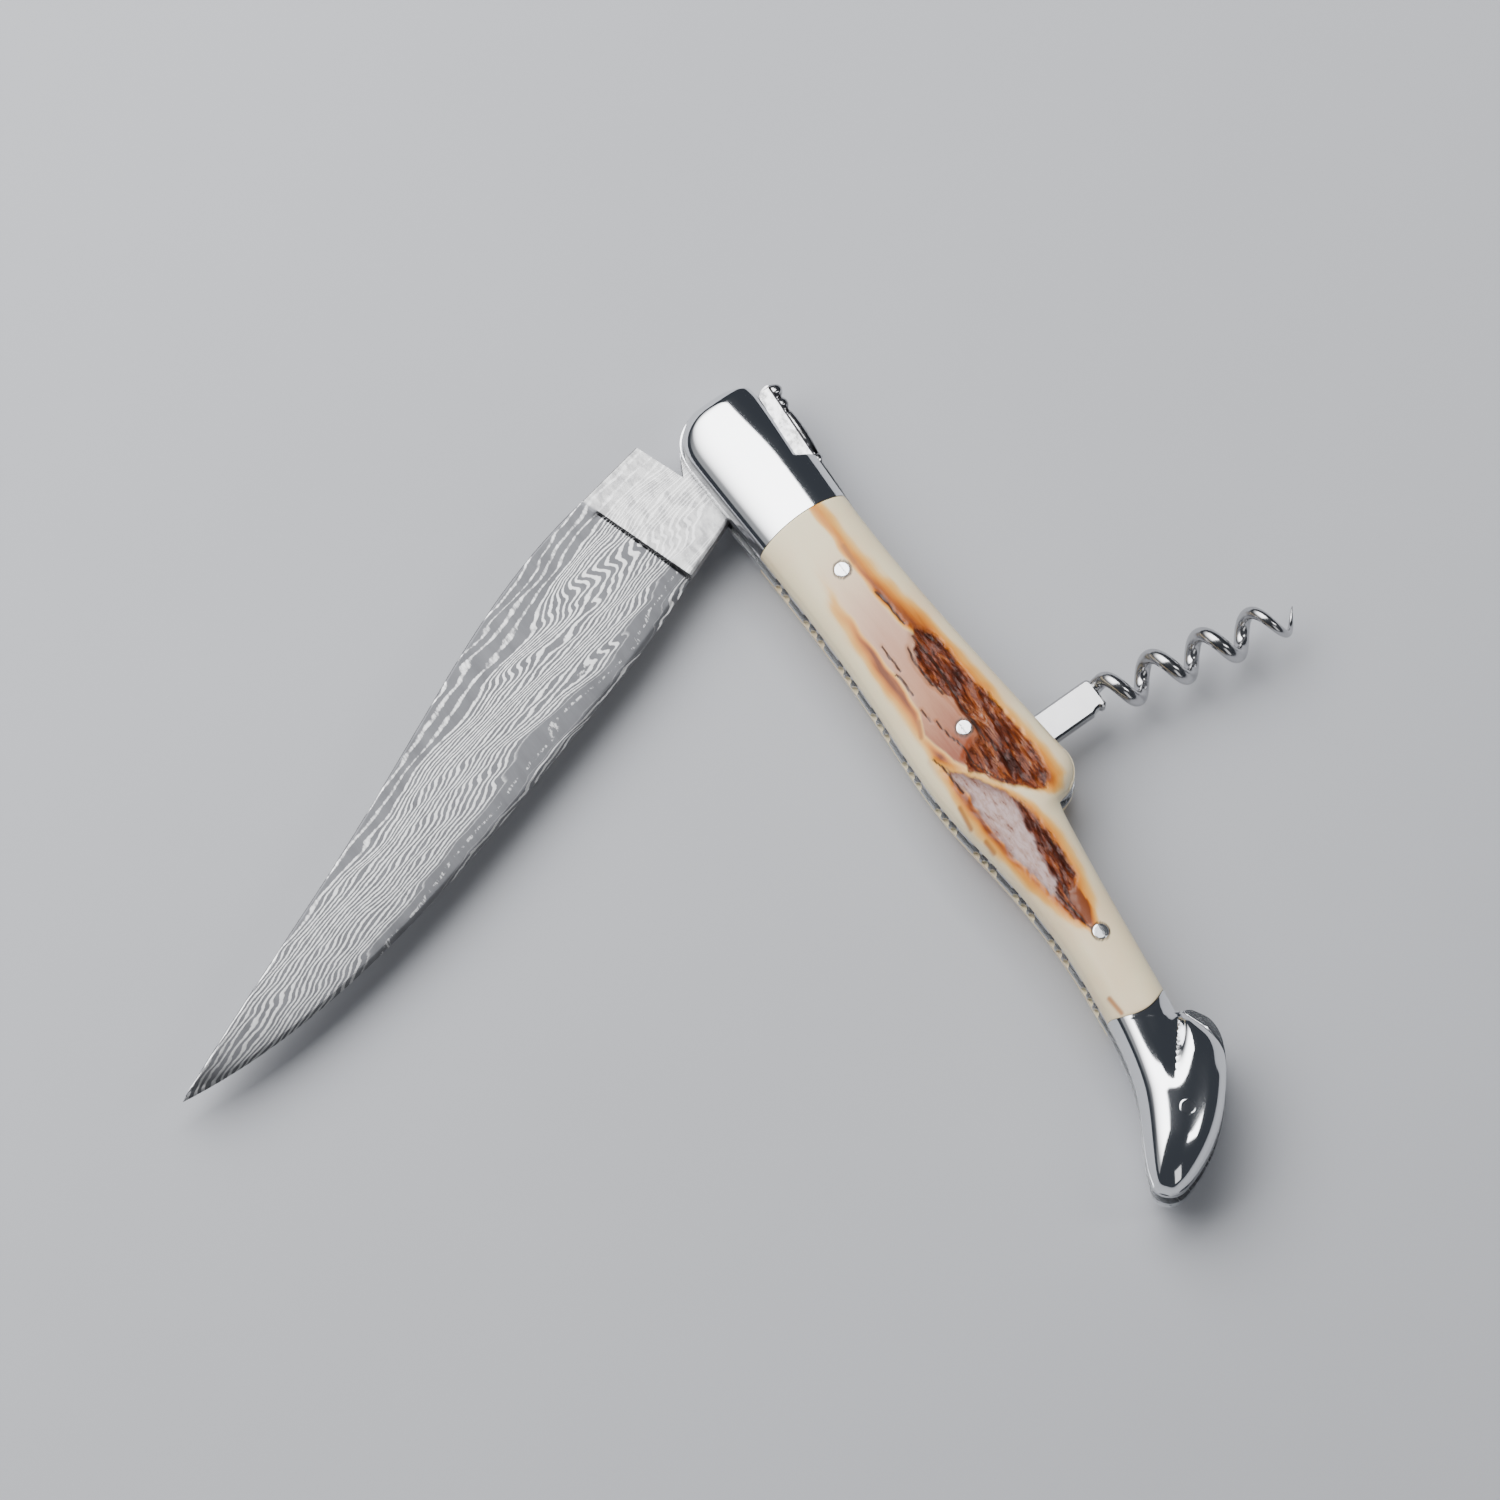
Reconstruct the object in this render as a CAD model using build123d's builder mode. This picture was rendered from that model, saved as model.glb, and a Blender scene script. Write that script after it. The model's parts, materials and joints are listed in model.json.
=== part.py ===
"""Slip-joint folding pocket knife with a folding corkscrew, lying on its side, blade half open.

+X runs from the blade pivot to the tail, +Y towards the back of the handle (spring and corkscrew),
+Z through the handle's thickness. The origin is on the blade pivot's axis, on the lower flat side.
"""

from build123d import *
import os
from math import cos, radians, sin

os.makedirs("parts", exist_ok=True)

# Thickness, from the lower face up
COVER_THICKNESS = 4.7
LINER_THICKNESS = 1.0
GAP = 3.0
COVER_ROUND = 1.6
SHORTEST_ROUNDED_EDGE = 1.3
SHARP_REACH = 0.4
TOTAL_THICKNESS = 2 * (COVER_THICKNESS + LINER_THICKNESS) + GAP
MIDDLE = TOTAL_THICKNESS / 2
UPPER_LINER_BASE = MIDDLE + GAP / 2
UPPER_COVER_BASE = UPPER_LINER_BASE + LINER_THICKNESS

# Fits
SIDE_PLAY = 0.1
PIN_PLAY = 0.05

# Pins: place and radius
BLADE_PIVOT = (0, 0)
BLADE_PIN_RADIUS = 2.0
BLADE_PIN_BLIND_DEPTH = 3.2
CORKSCREW_PIVOT = (53.5, 7.8)
CORKSCREW_PIN_RADIUS = 1.0
SPRING_PIN_PLACE = (38, 6.9)
SPRING_PIN_RADIUS = 1.0
REAR_PIN_PLACE = (105.5, -4.7)
REAR_PIN_RADIUS = 1.15
SCALE_PIN_RADIUS = 1.1
SCALE_PINS = {"front": (22.7, 1.4), "middle": (48.7, 1.65), "rear": (80.5, -0.1)}

# Seams between the bolsters and the scales
FRONT_SEAM_X = 14.5
FRONT_SEAM_BULGE = 0.9
REAR_SEAM_X = 90.2
REAR_SEAM_BULGE = 1.8
SEAM_REACH = 20
SPUR_FRONT_X = 94.6
BACK_BULGE_X = 60.6

# Filed liner edge on the belly
FILEWORK_START = 18
FILEWORK_END = 88
FILEWORK_PERIOD = 7.5
FILEWORK_CUT_RADIUS = 0.6
FILEWORK_DEPTH = 0.45
FILEWORK_CUTS_IN_PERIOD = (0, 1.6, 3.2)

# Blade, in its own frame: x along the blade from the pivot, y towards the cutting edge
BLADE_THICKNESS = GAP - 2 * SIDE_PLAY
BLADE_ANGLE = -71.5
TANG_HALF_WIDTH = 5.2
TANG_REAR = 5.6
TANG_CORNER = 2.0
TANG_RELIEF = [(3.0, -5.2), (4.9, -4.1), (6.45, -2.6)]
SHOULDER = 6.65
SHOULDER_CORNER = (6.65, -9.8)
HEEL = (8.4, 5.5)
PLUNGE = 16.65
SPINE_AT_PLUNGE = -11.3
EDGE_AT_PLUNGE = 5.8
HALF_EDGE_AT_HEEL = 0.5
HALF_EDGE_AT_TIP = 0.3
BLADE_TIP = (110.2, -6.7)

# Spring
LEAF_THICKNESS = GAP - SIDE_PLAY
LEAF_HINGE = (24, 6.9)
LEAF_RAISED = 3.24
LEAF_TO_SPRING = 0.15
LEAF_BACK = 8.15
LEAF_SEAT = 5.25
HEAD_FOOT = (-3.9, 5.5)
LEAF_BELLY = 5.6

# Corkscrew
SHANK_THICKNESS = GAP - 4 * SIDE_PLAY
SHANK_WIDTH = 4.3
SHANK_LENGTH = 11.5
SHANK_CORNER = 0.4
NECK_X = 52.6
TANG_END_RADIUS = 2.4
WIRE_RADIUS = 1.0
WORM_RADIUS = 2.15
WORM_PITCH = 7.1
WORM_TURNS = 3.3
WORM_LEAN = -11.8
WORM_START = (54.83, 22.9)


def at_height(height):
    """A plane parallel to the rest face, at this height above it."""
    return Plane.XY.offset(height)


# ---------------------------------------------------------------- handle outline and its seams

with BuildLine() as back_line:
    Polyline((-2.9, 6.5), (6.7, 5.7), (7.6, 8.15), (9, 8.1))
    Spline((9, 8.1), (26, 8.2), (45.4, 9.75), (57, 10.8))
    ThreePointArc((57, 10.8), (61.1, 10.1), (62.7, 7.4))
    Line((62.7, 7.4), (62.6, 6.2))
    Spline((62.6, 6.2), (70.4, 5.0), (81, 3.6), (94.7, 1.85))
    Polyline((94.7, 1.85), (94.5, 3.6), (96.8, 4.9))
    tail_back = Spline((96.8, 4.9), (98.5, 5.05), (103.8, 2.65), (110.8, -4.5), (113.2, -10.3))
    hook_end = (110.5, -13.9)
    ThreePointArc(tail_back @ 1, (112.7, -12.8), hook_end)

with BuildLine() as belly_line:
    hook = Spline(hook_end, (105.6, -11.6), (100.5, -8.7), (93.2, -6.4), (87, -5.5))
    belly_front = (-0.35, -5.9)
    belly = Spline(
        hook @ 1, (76, -4.7), (65, -5.2), (56, -6.15), (39, -5.5), (24, -5.2), (9, -5.6), belly_front
    )
    nose = Spline(
        belly @ 1, (-4.1, -4.75), (-6, 0), (-5.6, 3), (-4.45, 6.2), tangents=[belly % 1, (0.4, 1)]
    )
    Line(nose @ 1, (-2.9, 6.5))

with BuildSketch() as handle_outline:
    with BuildLine():
        add(back_line.line)
        add(belly_line.line)
    make_face()

with BuildSketch() as front_region:
    with BuildLine():
        front_seam = ThreePointArc(
            (FRONT_SEAM_X, -6.2), (FRONT_SEAM_X - FRONT_SEAM_BULGE, 1.2), (FRONT_SEAM_X, 8.6)
        )
        Polyline(
            front_seam @ 1,
            (FRONT_SEAM_X, SEAM_REACH),
            (-SEAM_REACH, SEAM_REACH),
            (-SEAM_REACH, -SEAM_REACH),
            (FRONT_SEAM_X, -SEAM_REACH),
            front_seam @ 0,
        )
    make_face()

with BuildSketch() as rear_region:
    with BuildLine():
        rear_seam = ThreePointArc(
            (REAR_SEAM_X, -6.6), (REAR_SEAM_X + REAR_SEAM_BULGE, -2.0), (REAR_SEAM_X, 2.6)
        )
        Polyline(
            rear_seam @ 1,
            (REAR_SEAM_X, SEAM_REACH),
            (REAR_SEAM_X + 2 * SEAM_REACH, SEAM_REACH),
            (REAR_SEAM_X + 2 * SEAM_REACH, -SEAM_REACH),
            (REAR_SEAM_X, -SEAM_REACH),
            rear_seam @ 0,
        )
    make_face()


def rim_edges(piece, sharp_places):
    """The edges round a cover's outer face, without those centred at the sharp places along X."""
    rim = piece.faces().sort_by(Axis.Z)[-1].edges()
    return [
        edge
        for edge in rim
        if edge.length > SHORTEST_ROUNDED_EDGE
        and all(abs(edge.center().X - place) > SHARP_REACH for place in sharp_places)
    ]


def finish(builder, label):
    """Label a finished piece and write its file."""
    builder.part.label = label
    export_step(builder.part, f"parts/{label}.step")


# ---------------------------------------------------------------- bolsters and scales

with BuildPart() as upper_cover:
    with BuildSketch(at_height(UPPER_COVER_BASE)):
        add(handle_outline.sketch)
    extrude(amount=COVER_THICKNESS)

with BuildPart() as upper_front_bolster:
    add(upper_cover.part)
    with BuildSketch(at_height(UPPER_COVER_BASE)):
        add(front_region.sketch)
    extrude(amount=COVER_THICKNESS, mode=Mode.INTERSECT)
    fillet(rim_edges(upper_front_bolster, [FRONT_SEAM_X - FRONT_SEAM_BULGE]), radius=COVER_ROUND)
    with Locations((*BLADE_PIVOT, UPPER_COVER_BASE)):
        Cylinder(
            BLADE_PIN_RADIUS,
            BLADE_PIN_BLIND_DEPTH,
            align=(Align.CENTER, Align.CENTER, Align.MIN),
            mode=Mode.SUBTRACT,
        )

with BuildPart() as upper_rear_bolster:
    add(upper_cover.part)
    with BuildSketch(at_height(UPPER_COVER_BASE)):
        add(rear_region.sketch)
    extrude(amount=COVER_THICKNESS, mode=Mode.INTERSECT)
    rear_sharp = [REAR_SEAM_X + REAR_SEAM_BULGE, SPUR_FRONT_X]
    fillet(rim_edges(upper_rear_bolster, rear_sharp), radius=COVER_ROUND)
    with Locations((*REAR_PIN_PLACE, TOTAL_THICKNESS)):
        Hole(REAR_PIN_RADIUS)

with BuildPart() as upper_scale:
    add(upper_cover.part)
    with BuildSketch(at_height(UPPER_COVER_BASE)):
        add(front_region.sketch)
        add(rear_region.sketch)
    extrude(amount=COVER_THICKNESS, mode=Mode.SUBTRACT)
    scale_sharp = [FRONT_SEAM_X - FRONT_SEAM_BULGE, BACK_BULGE_X, REAR_SEAM_X + REAR_SEAM_BULGE]
    fillet(rim_edges(upper_scale, scale_sharp), radius=COVER_ROUND)
    with Locations([(*place, TOTAL_THICKNESS) for place in SCALE_PINS.values()]):
        Hole(SCALE_PIN_RADIUS)

covers = {
    "front_bolster": upper_front_bolster,
    "rear_bolster": upper_rear_bolster,
    "scale": upper_scale,
}
for cover_name, upper in covers.items():
    with BuildPart() as lower:
        mirror(upper.part, about=at_height(MIDDLE))
    finish(upper, f"upper_{cover_name}")
    finish(lower, f"lower_{cover_name}")

# ---------------------------------------------------------------- liners, with filework on the belly

filed_places = []
for first_cut in FILEWORK_CUTS_IN_PERIOD:
    distance = FILEWORK_START + first_cut
    while distance < FILEWORK_END:
        on_edge = belly.position_at(distance - FILEWORK_START, position_mode=PositionMode.LENGTH)
        filed_places.append((on_edge.X, on_edge.Y - FILEWORK_CUT_RADIUS + FILEWORK_DEPTH))
        distance += FILEWORK_PERIOD

for side, liner_base in {"lower": COVER_THICKNESS, "upper": UPPER_LINER_BASE}.items():
    with BuildPart() as liner:
        with BuildSketch(at_height(liner_base)):
            add(handle_outline.sketch)
            with Locations(filed_places):
                Circle(FILEWORK_CUT_RADIUS, mode=Mode.SUBTRACT)
            with Locations(BLADE_PIVOT):
                Circle(BLADE_PIN_RADIUS, mode=Mode.SUBTRACT)
            with Locations(CORKSCREW_PIVOT):
                Circle(CORKSCREW_PIN_RADIUS, mode=Mode.SUBTRACT)
            with Locations(SPRING_PIN_PLACE):
                Circle(SPRING_PIN_RADIUS, mode=Mode.SUBTRACT)
            with Locations(REAR_PIN_PLACE):
                Circle(REAR_PIN_RADIUS, mode=Mode.SUBTRACT)
            with Locations(list(SCALE_PINS.values())):
                Circle(SCALE_PIN_RADIUS, mode=Mode.SUBTRACT)
        extrude(amount=LINER_THICKNESS)
    finish(liner, f"{side}_liner")

# ---------------------------------------------------------------- back spring

with BuildPart() as backspring:
    with BuildSketch(at_height(MIDDLE)):
        with BuildLine():
            start_x = LEAF_HINGE[0] + LEAF_TO_SPRING
            outer = Spline((start_x, LEAF_BACK), (35.5, 8.9), (49.6, 10.0), tangents=[(1, 0), (1, 0.1)])
            dip = Spline(
                outer @ 1, (50.4, 7.2), (53.5, 5.2), (58, 4.9), (62.7, 5.9), tangents=[(0.3, -1), (1, 0)]
            )
            under_worm = Spline(dip @ 1, (70.4, 4.9), (81, 3.5), (94, 1.8))
            rear_end = Polyline(
                under_worm @ 1, (103.5, -1.2), (107.8, -4.6), (107.5, -7.2), (104.6, -8.2), (92, -3.9)
            )
            inner = Spline(
                rear_end @ 1, (77, -0.3), (63, 2.1), (49, 3.9), (36, 4.6), (start_x, LEAF_BELLY)
            )
            Line(inner @ 1, outer @ 0)
        make_face()
        with Locations(SPRING_PIN_PLACE):
            Circle(SPRING_PIN_RADIUS, mode=Mode.SUBTRACT)
        with Locations(REAR_PIN_PLACE):
            Circle(REAR_PIN_RADIUS, mode=Mode.SUBTRACT)
    extrude(amount=GAP / 2, both=True)
finish(backspring, "backspring")

leaf_plane = Plane(
    origin=(*LEAF_HINGE, MIDDLE),
    x_dir=(cos(radians(LEAF_RAISED)), -sin(radians(LEAF_RAISED)), 0),
    z_dir=(0, 0, 1),
)


def from_hinge(x, y):
    """A point of the seated leaf, measured from the leaf's bending line."""
    return (x - LEAF_HINGE[0], y - LEAF_HINGE[1])


with BuildPart() as spring_leaf:
    with BuildSketch(leaf_plane):
        with BuildLine():
            leaf_back = Line((0, LEAF_BACK - LEAF_HINGE[1]), from_hinge(8.9, 7.95))
            filed_head = Spline(
                leaf_back @ 1, from_hinge(5.2, 8.6), from_hinge(1, 8.4), from_hinge(-2.4, 8.7)
            )
            head_bead = ThreePointArc(
                filed_head @ 1, from_hinge(-3.7, 9.05), from_hinge(-4.2, 7.9)
            )
            Polyline(
                head_bead @ 1,
                from_hinge(*HEAD_FOOT),
                from_hinge(7.6, LEAF_SEAT),
                from_hinge(8.6, LEAF_BELLY),
                (0, LEAF_BELLY - LEAF_HINGE[1]),
                leaf_back @ 0,
            )
        make_face()
    extrude(amount=LEAF_THICKNESS / 2, both=True)
finish(spring_leaf, "spring_leaf")

# ---------------------------------------------------------------- blade

blade_plane = Plane(
    origin=(*BLADE_PIVOT, MIDDLE),
    x_dir=(cos(radians(BLADE_ANGLE)), sin(radians(BLADE_ANGLE)), 0),
    z_dir=(0, 0, 1),
)
spine_slope = (HALF_EDGE_AT_HEEL - BLADE_THICKNESS / 2) / (EDGE_AT_PLUNGE - SPINE_AT_PLUNGE)
spine_drop_at_tip = spine_slope * (BLADE_TIP[1] - SPINE_AT_PLUNGE)
length_slope = (HALF_EDGE_AT_TIP - BLADE_THICKNESS / 2 - spine_drop_at_tip) / (BLADE_TIP[0] - PLUNGE)
grind_normal = blade_plane.x_dir * -length_slope - blade_plane.y_dir * spine_slope + Vector(0, 0, 1)
grind_start = blade_plane.from_local_coords((PLUNGE, SPINE_AT_PLUNGE, BLADE_THICKNESS / 2))
grind_plane = Plane(origin=grind_start, z_dir=grind_normal)

with BuildPart() as ground_steel:
    with BuildSketch(blade_plane):
        with BuildLine():
            edge = Spline(
                (PLUNGE, EDGE_AT_PLUNGE),
                (22.9, 6.25),
                (42.8, 5.75),
                (63.1, 4.55),
                (84.6, 1.7),
                (100.6, -2.6),
                BLADE_TIP,
            )
            spine = Spline(
                BLADE_TIP,
                (91.8, -8.0),
                (72.7, -9.1),
                (52.5, -11.0),
                (33.7, -12.5),
                (PLUNGE, SPINE_AT_PLUNGE),
            )
            Line(spine @ 1, edge @ 0)
        make_face()
    extrude(amount=BLADE_THICKNESS / 2)
    split(bisect_by=grind_plane, keep=Keep.BOTTOM)
    mirror(about=at_height(MIDDLE))

with BuildPart() as blade:
    with BuildSketch(blade_plane):
        with BuildLine():
            Polyline(
                (PLUNGE, EDGE_AT_PLUNGE),
                HEEL,
                (SHOULDER, TANG_HALF_WIDTH),
                (-TANG_REAR, TANG_HALF_WIDTH),
                (-TANG_REAR, -TANG_HALF_WIDTH),
                *TANG_RELIEF,
                SHOULDER_CORNER,
                (PLUNGE, SPINE_AT_PLUNGE),
                close=True,
            )
        make_face()
    extrude(amount=BLADE_THICKNESS / 2, both=True)
    rear_edges = blade.edges().filter_by(Axis.Z).filter_by(
        lambda edge: blade_plane.to_local_coords(edge.center()).X < -TANG_REAR + SIDE_PLAY
    )
    fillet(rear_edges, radius=TANG_CORNER)
    add(ground_steel.part)
    with Locations((*BLADE_PIVOT, MIDDLE)):
        Cylinder(BLADE_PIN_RADIUS + PIN_PLAY, 2 * GAP, mode=Mode.SUBTRACT)
finish(blade, "blade")

# ---------------------------------------------------------------- corkscrew

with BuildPart() as corkscrew_shank:
    with BuildSketch(at_height(MIDDLE)) as shank_sketch:
        with Locations((CORKSCREW_PIVOT[0], CORKSCREW_PIVOT[1] + SHANK_LENGTH / 2)):
            Rectangle(SHANK_WIDTH, SHANK_LENGTH)
        fillet(shank_sketch.vertices().group_by(Axis.Y)[-1].sort_by(Axis.X)[0], radius=SHANK_CORNER)
        with Locations(CORKSCREW_PIVOT):
            Circle(TANG_END_RADIUS)
    extrude(amount=SHANK_THICKNESS / 2, both=True)
    with Locations((*CORKSCREW_PIVOT, MIDDLE)):
        Cylinder(CORKSCREW_PIN_RADIUS + PIN_PLAY, 2 * GAP, mode=Mode.SUBTRACT)
finish(corkscrew_shank, "corkscrew_shank")

worm_axis = Vector(-sin(radians(WORM_LEAN)), cos(radians(WORM_LEAN)), 0)
worm_side = Vector(worm_axis.Y, -worm_axis.X, 0)
worm_plane = Plane(origin=(*WORM_START, MIDDLE), x_dir=-worm_side, z_dir=worm_axis)
neck_base = Plane(
    origin=(NECK_X, CORKSCREW_PIVOT[1] + SHANK_LENGTH, MIDDLE), x_dir=(1, 0, 0), z_dir=(0, 1, 0)
)

with BuildPart() as coil:
    with BuildLine() as coil_path:
        Helix(WORM_PITCH, WORM_PITCH * WORM_TURNS, WORM_RADIUS)
    with BuildSketch(Plane(origin=coil_path.line @ 0, z_dir=coil_path.line % 0)):
        Circle(WIRE_RADIUS)
    sweep(path=coil_path.line, is_frenet=True)
    with Locations(coil_path.line @ 0, coil_path.line @ 1):
        Sphere(WIRE_RADIUS)

with BuildPart() as corkscrew_worm:
    with Locations(worm_plane.location):
        add(coil.part)
    neck_top = worm_plane.from_local_coords(coil_path.line @ 0)
    neck = neck_top - neck_base.origin
    with BuildSketch(neck_base):
        Circle(WIRE_RADIUS)
    extrude(amount=neck.length, dir=neck.normalized())
finish(corkscrew_worm, "corkscrew_worm")

# ---------------------------------------------------------------- pins

pins = {
    "blade_pivot_pin": (BLADE_PIVOT, BLADE_PIN_RADIUS, GAP + 2 * (LINER_THICKNESS + BLADE_PIN_BLIND_DEPTH)),
    "corkscrew_pivot_pin": (CORKSCREW_PIVOT, CORKSCREW_PIN_RADIUS, GAP + 2 * LINER_THICKNESS),
    "spring_middle_pin": (SPRING_PIN_PLACE, SPRING_PIN_RADIUS, GAP + 2 * LINER_THICKNESS),
    "rear_bolster_pin": (REAR_PIN_PLACE, REAR_PIN_RADIUS, TOTAL_THICKNESS),
}
for pin_name, (place, pin_radius, pin_length) in pins.items():
    with BuildPart() as pin:
        with Locations((*place, MIDDLE)):
            Cylinder(pin_radius, pin_length)
    finish(pin, pin_name)

SCALE_PIN_LENGTH = COVER_THICKNESS + LINER_THICKNESS
for side, pin_middle in {
    "lower": SCALE_PIN_LENGTH / 2,
    "upper": TOTAL_THICKNESS - SCALE_PIN_LENGTH / 2,
}.items():
    for station, place in SCALE_PINS.items():
        with BuildPart() as scale_pin:
            with Locations((*place, pin_middle)):
                Cylinder(SCALE_PIN_RADIUS, SCALE_PIN_LENGTH)
        finish(scale_pin, f"{side}_scale_pin_{station}")
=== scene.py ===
"""Looks for a folding pocket knife with a folding corkscrew, laid out as an add-on."""

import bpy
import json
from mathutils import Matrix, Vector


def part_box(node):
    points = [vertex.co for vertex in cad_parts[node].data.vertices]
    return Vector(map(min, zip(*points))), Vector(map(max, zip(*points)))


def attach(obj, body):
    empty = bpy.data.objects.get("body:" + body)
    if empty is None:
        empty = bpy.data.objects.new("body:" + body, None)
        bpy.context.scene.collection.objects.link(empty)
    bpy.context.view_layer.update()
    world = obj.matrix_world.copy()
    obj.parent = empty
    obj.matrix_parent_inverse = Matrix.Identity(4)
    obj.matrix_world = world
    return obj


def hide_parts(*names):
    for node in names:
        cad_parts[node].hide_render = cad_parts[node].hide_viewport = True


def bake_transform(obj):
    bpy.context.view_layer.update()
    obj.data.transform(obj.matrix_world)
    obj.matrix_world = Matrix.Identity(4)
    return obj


bl_info = {
    "name": "Folding Knife With Corkscrew",
    "version": (1, 0, 0),
    "blender": (4, 5, 0),
    "location": "View3D > Sidebar > Knife",
    "description": "Builds the bolsters, scales, blade, spring and corkscrew of a folding knife",
    "category": "Object",
}

import json
import math

import bpy
import numpy as np
from bpy.props import FloatProperty, FloatVectorProperty, IntProperty, PointerProperty
from mathutils import Vector, noise

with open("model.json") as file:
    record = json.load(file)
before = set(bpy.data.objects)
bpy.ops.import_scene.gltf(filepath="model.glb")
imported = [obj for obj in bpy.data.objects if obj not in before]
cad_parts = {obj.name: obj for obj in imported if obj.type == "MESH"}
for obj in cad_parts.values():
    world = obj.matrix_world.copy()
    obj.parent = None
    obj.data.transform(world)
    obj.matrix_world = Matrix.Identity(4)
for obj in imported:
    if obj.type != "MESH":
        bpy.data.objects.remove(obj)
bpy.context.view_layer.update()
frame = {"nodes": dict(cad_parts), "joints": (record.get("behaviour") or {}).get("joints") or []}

MM = 0.001


def height_of(node, corner):
    """Height in millimetres of a CAD node's lowest (0) or highest (1) corner."""
    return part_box(node)[corner].z / MM


COVER_BASE = height_of("upper_scale", 0)
CROWN = height_of("upper_scale", 1)
MIDDLE = CROWN / 2
FRONT_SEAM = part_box("upper_front_bolster")[1].x / MM
FRONT_SEAM_BULGE = FRONT_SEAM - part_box("upper_scale")[0].x / MM
REAR_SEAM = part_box("upper_rear_bolster")[0].x / MM
REAR_SEAM_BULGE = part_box("upper_scale")[1].x / MM - REAR_SEAM
PIVOT = Vector(next(j["pos_m"] for j in frame["joints"] if j["name"] == "corkscrew_pivot")) / MM
LEAF_BEND = Vector(next(j["pos_m"] for j in frame["joints"] if j["name"] == "spring_flex"))
SIDES = ("upper", "lower")
PIN_PLACES = ("front", "middle", "rear")


# ------------------------------------------------------------------ meshes


def make_piece(name, points, faces, body, replaced, material):
    """A mesh object in metres from points in millimetres, riding on a CAD body."""
    mesh = bpy.data.meshes.new(name)
    mesh.from_pydata([tuple(p * MM) for p in np.asarray(points, float)], [], faces)
    mesh.validate()
    mesh.update()
    piece = bpy.data.objects.new(name, mesh)
    bpy.context.scene.collection.objects.link(piece)
    smooth(piece)
    mesh.materials.append(material)
    if body:
        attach(piece, body)
    if replaced:
        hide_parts(*replaced)
    return piece


def smooth(piece, sharpest=32):
    """Smooth shading, with edges sharper than this many degrees left crisp."""
    piece.data.shade_smooth()
    piece.data.set_sharp_from_angle(angle=math.radians(sharpest))


def loft_faces(rows, columns, closed, caps=True):
    """Quads between rows of points, closed across each row, with a face over each end."""
    faces = []
    last = columns if closed else columns - 1
    for i in range(rows - 1):
        for j in range(last):
            k = (j + 1) % columns
            a, b = i * columns, (i + 1) * columns
            faces.append((a + j, a + k, b + k, b + j))
    if caps:
        faces.append(tuple(reversed(range(columns))))
        faces.append(tuple((rows - 1) * columns + j for j in range(columns)))
    return faces


def flipped(faces):
    """The same faces wound the other way."""
    return [tuple(reversed(face)) for face in faces]


def set_attribute(piece, name, values):
    """Store one number for each point of a piece."""
    attribute = piece.data.attributes.new(name, "FLOAT", "POINT")
    attribute.data.foreach_set("value", np.asarray(values, np.float32).ravel())


# ------------------------------------------------------------------ outlines read from the frame


def edges_from_above(*names):
    """Both ends of every edge of these CAD nodes, seen from above, in millimetres."""
    found = []
    for name in names:
        mesh = frame["nodes"][name].data
        points = np.empty(len(mesh.vertices) * 3)
        mesh.vertices.foreach_get("co", points)
        ends = np.empty(len(mesh.edges) * 2, int)
        mesh.edges.foreach_get("vertices", ends)
        found.append(points.reshape(-1, 3)[ends.reshape(-1, 2), :2] / MM)
    return np.concatenate(found)


def reach(edges, origin, across):
    """How far an outline reaches each way from the origin, along a line across it."""
    across = np.array(across, float)
    along = np.array((across[1], -across[0]))
    from_origin = edges - np.array(origin, float)
    ahead = from_origin @ along
    aside = from_origin @ across
    hit = (ahead[:, 0] <= 0) != (ahead[:, 1] <= 0)
    if not hit.any():
        return None
    share = ahead[hit, 0] / (ahead[hit, 0] - ahead[hit, 1])
    crossing = aside[hit, 0] + share * (aside[hit, 1] - aside[hit, 0])
    return crossing.min(), crossing.max()


def blurred(values, spread):
    """A row of values with its steps softened over a few neighbours."""
    reach_out = int(3 * spread)
    weights = np.exp(-0.5 * (np.arange(-reach_out, reach_out + 1) / spread) ** 2)
    padded = np.pad(values, reach_out, mode="edge")
    return np.convolve(padded, weights / weights.sum(), mode="valid")


def smoothstep(low, high, value):
    """0 below low, 1 above high and a smooth rise between."""
    share = np.clip((np.asarray(value, float) - low) / (high - low), 0, 1)
    return share * share * (3 - 2 * share)


def edge_distance(points, start, end):
    """Distance from each point to the straight edge between two corners."""
    side = end - start
    share = np.clip(((points - start) @ side) / (side @ side), 0, 1)
    gap = points - (start + share[:, None] * side)
    return np.hypot(gap[:, 0], gap[:, 1])


def line_distance(x, y, route):
    """Distance in millimetres to a broken line."""
    points = np.stack([np.ravel(x), np.ravel(y)], axis=1)
    corners = np.array(route, float)
    gaps = [edge_distance(points, start, end) for start, end in zip(corners, corners[1:])]
    return np.min(gaps, axis=0).reshape(np.shape(x))


def signed_distance(x, y, outline):
    """Distance in millimetres to a closed outline, positive inside it."""
    closed = [*outline, outline[0]]
    nearest = line_distance(x, y, closed)
    inside = np.zeros(np.shape(x), bool)
    for (x0, y0), (x1, y1) in zip(closed, closed[1:]):
        slope = (x1 - x0) / (y1 - y0) if y1 != y0 else 0
        inside ^= ((y0 > y) != (y1 > y)) & (x < x0 + slope * (y - y0))
    return np.where(inside, nearest, -nearest)


def ripple(x, y, scale_x, scale_y, seed):
    """Smooth noise between -1 and 1 over a plane, stretched differently along and across."""
    flat = [
        noise.noise(Vector((a * scale_x, b * scale_y, seed))) for a,
        b in zip(np.ravel(x), np.ravel(y))
    ]
    return np.array(flat).reshape(np.shape(x))


# ------------------------------------------------------------------ the handle's ribs

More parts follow.
